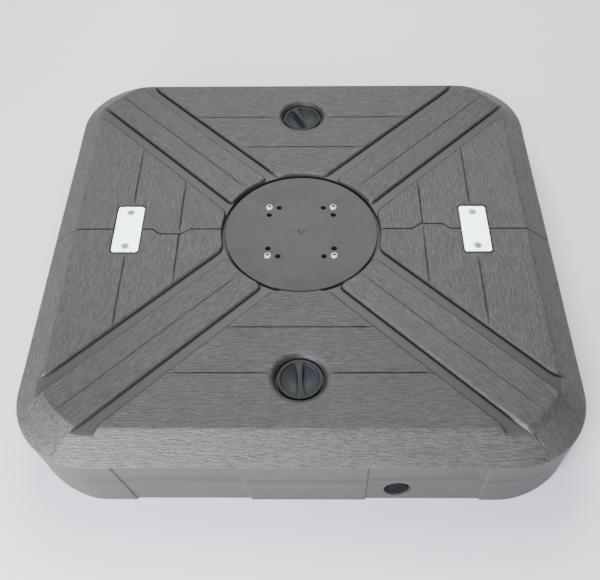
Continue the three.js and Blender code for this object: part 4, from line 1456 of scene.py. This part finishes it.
def grain_height(tree, place, turn):
    """Moulded wood grain running along X after the turn: long streaks with finer ones between them."""
    coarse = noise(tree, stretched(tree, place, (52, 400, 90), turn), 1.0, 3, 0.65, 0.15)
    fine = noise(tree, stretched(tree, place, (170, 680, 200), turn), 1.0, 2, 0.6, 0.1)
    streaks = times(tree, spread(tree, coarse, 0.36, 0.66), 0.55)
    return plus(tree, streaks, times(tree, spread(tree, fine, 0.3, 0.7), 0.45))


def shell_material():
    """The shell's plastic: moulded grain along each board, a little orange peel, and painted shade in the
    creases.
    """
    made, tree, shader = new_material("moulded_plastic", SHELL_ROUGHNESS)
    place = object_place(tree)
    total, cover = None, None
    for name, turn in (("grain_x", 0), ("grain_y", -math.pi / 2), ("grain_rising", -math.pi / 4),
                       ("grain_falling", math.pi / 4)):
        mask = marked(tree, name)
        part = times(tree, grain_height(tree, place, turn), mask)
        total = part if total is None else plus(tree, total, part)
        cover = mask if cover is None else plus(tree, cover, mask)
    peel = noise(tree, place, 620, 2, 0.5)
    cloud = noise(tree, place, 7, 3, 0.5)
    plain = minus(tree, 1.0, cover)
    height = plus(tree, total, times(tree, times(tree, peel, 0.12), plain))
    bump(tree, shader, height, GRAIN_DEPTH)
    # The plain stretches, channel floors and walls, get a lower tone than the boards: painted shade in the
    # channels' floors.
    tone = plus(tree, total, times(tree, plain, PLAIN_TONE))
    tone = minus(tree, tone, TONE_SHIFT)
    tone = plus(tree, tone, times(tree, cloud, CLOUD_TONE))
    # Painted shade: the creases are darkened.
    tone = minus(tree, tone, times(tree, marked(tree, "crease_shade"), CREASE_SHADE_TONE))
    tree.links.new(shades(tree, tone, "moulded_plastic"), shader.inputs["Base Color"])
    rough = minus(tree, SHELL_ROUGHNESS, times(tree, total, 0.12))
    tree.links.new(rough, shader.inputs["Roughness"])
    return made


def plastic(name, roughness, gloss):
    """A smooth moulding: faint mottling, a little orange peel, uneven gloss, and painted shade where a
    hollow is marked.
    """
    made, tree, shader = new_material(name, roughness)
    place = object_place(tree)
    mottle = noise(tree, place, 22, 4, 0.6)
    scuffs = noise(tree, stretched(tree, place, (60, 420, 60), 0.5), 1.0, 4, 0.7)
    tone = plus(tree, times(tree, mottle, 0.8), times(tree, scuffs, 0.2))
    colour = paint_hollow_shade(tree, shades(tree, spread(tree, tone, 0.3, 0.7), name), 0.58)
    tree.links.new(colour, shader.inputs["Base Color"])
    uneven = spread(tree, scuffs, 0.3, 0.75, roughness - 0.06, roughness + 0.1)
    tree.links.new(uneven, shader.inputs["Roughness"])
    shader.inputs["Specular IOR Level"].default_value = gloss
    bump(tree, shader, noise(tree, place, 700, 2), 0.00005)
    return made


def rubber(name):
    """Dull rubber with a fine grain and a little dust."""
    made, tree, shader = new_material(name, 0.75)
    shader.inputs["Specular IOR Level"].default_value = 0.08
    place = object_place(tree)
    grain = noise(tree, place, 900, 4, 0.7)
    dust = noise(tree, place, 60, 5, 0.65)
    tree.links.new(shades(tree, spread(tree, dust, 0.35, 0.8), name), shader.inputs["Base Color"])
    tree.links.new(spread(tree, dust, 0.3, 0.8, 0.62, 0.85), shader.inputs["Roughness"])
    bump(tree, shader, grain, 0.00006)
    return made


def metal(name, roughness, scratch=(40, 900, 300), turn=0.4, metallic=1.0):
    """Plated or brushed metal: fine lines one way, cloudy plating and worn gloss. Marked hollows get
    painted shade.
    """
    made, tree, shader = new_material(name, roughness, metallic)
    place = object_place(tree)
    lines = noise(tree, stretched(tree, place, scratch, turn), 1.0, 4, 0.6)
    cloud = noise(tree, place, 90, 4, 0.6)
    colour = paint_hollow_shade(tree, shades(tree, spread(tree, cloud, 0.3, 0.72), name), 0.85)
    tree.links.new(colour, shader.inputs["Base Color"])
    uneven = spread(tree, lines, 0.3, 0.7, roughness - 0.08, roughness + 0.1)
    tree.links.new(uneven, shader.inputs["Roughness"])
    bump(tree, shader, lines, 0.00002)
    return made


def dress(pieces, made):
    """Gives the pieces one material."""
    for piece in pieces:
        piece.data.materials.clear()
        piece.data.materials.append(made)


# ---- Camera, floor and light ----

def make_camera():
    pitch, yaw, roll = (math.radians(angle) for angle in (CAMERA_PITCH, CAMERA_YAW, CAMERA_ROLL))
    forward = Vector((math.sin(yaw) * math.cos(pitch), math.cos(yaw) * math.cos(pitch), -math.sin(pitch)))
    right = Vector((math.cos(yaw), -math.sin(yaw), 0))
    up = right.cross(forward)
    across = right * math.cos(roll) + up * math.sin(roll)
    upright = up * math.cos(roll) - right * math.sin(roll)
    data = bpy.data.cameras.new("camera")
    data.lens = CAMERA_LENS
    data.sensor_width = SENSOR_WIDTH
    camera = linked("camera", data)
    turn = Matrix((across, upright, -forward)).transposed().to_4x4()
    camera.matrix_world = Matrix.Translation(CAMERA_PLACE) @ turn
    bpy.context.scene.camera = camera


def make_floor():
    data = bpy.data.meshes.new("floor")
    corners = [(sx * FLOOR_REACH, sy * FLOOR_REACH, 0) for sx, sy in ((-1, -1), (1, -1), (1, 1), (-1, 1))]
    data.from_pydata(corners, [], [(0, 1, 2, 3)])
    floor = linked("floor", data)
    made, tree, shader = new_material("pale_floor", 0.9)
    colour = shades(tree, noise(tree, object_place(tree), 3, 2), "pale_floor")
    tree.links.new(colour, shader.inputs["Base Color"])
    dress([floor], made)


def area_light(name, place, target, width, height, power, tint):
    data = bpy.data.lights.new(name, "AREA")
    data.energy = power
    data.shape = "RECTANGLE"
    data.size, data.size_y = width, height
    data.color = tint
    light = linked(name, data)
    light.location = place
    light.rotation_euler = (Vector(target) - Vector(place)).to_track_quat("-Z", "Y").to_euler()


def make_lights():
    world = bpy.data.worlds.new("studio")
    world.use_nodes = True
    background = world.node_tree.nodes["Background"]
    background.inputs["Color"].default_value = (1, 1, 1, 1)
    background.inputs["Strength"].default_value = WORLD_STRENGTH
    bpy.context.scene.world = world
    for light in LIGHTS:
        area_light(*light)


# ---- The whole base ----

def main():
    numbers, halves = range(1, 5), ("front", "rear")
    dress(make_tanks(), shell_material())
    dress([mounting_disc()], plastic("disc_plastic", 0.62, 0.3))
    dress([mast_bolt(i) for i in numbers], metal("bolt_plating", 0.5, metallic=0.45))
    zinc = metal("zinc", 0.42)
    dress([hex_nut(i) for i in numbers] + [washer(i) for i in numbers], zinc)
    dress([backing_plate()], metal("black_powder_coat", 0.5, (500, 500, 500), 0, 0.0))
    plates = [joining_plate(side) for side in ("left", "right")]
    dress(plates, metal("painted_plate", 0.3, (30, 700, 300), 0, 0.7))
    dress([joining_screw(i) for i in numbers], metal("screw_steel", 0.4))
    dress([knurled_insert(i) for i in numbers], metal("brass", 0.35))
    dress([fill_cap(half) for half in halves], plastic("cap_plastic", 0.42, 0.12))
    dress([cap_gasket(half) for half in halves], rubber("gasket_rubber"))
    dress([drain_bung(half) for half in halves], rubber("bung_rubber"))
    make_floor()
    make_lights()


make_camera()
main()
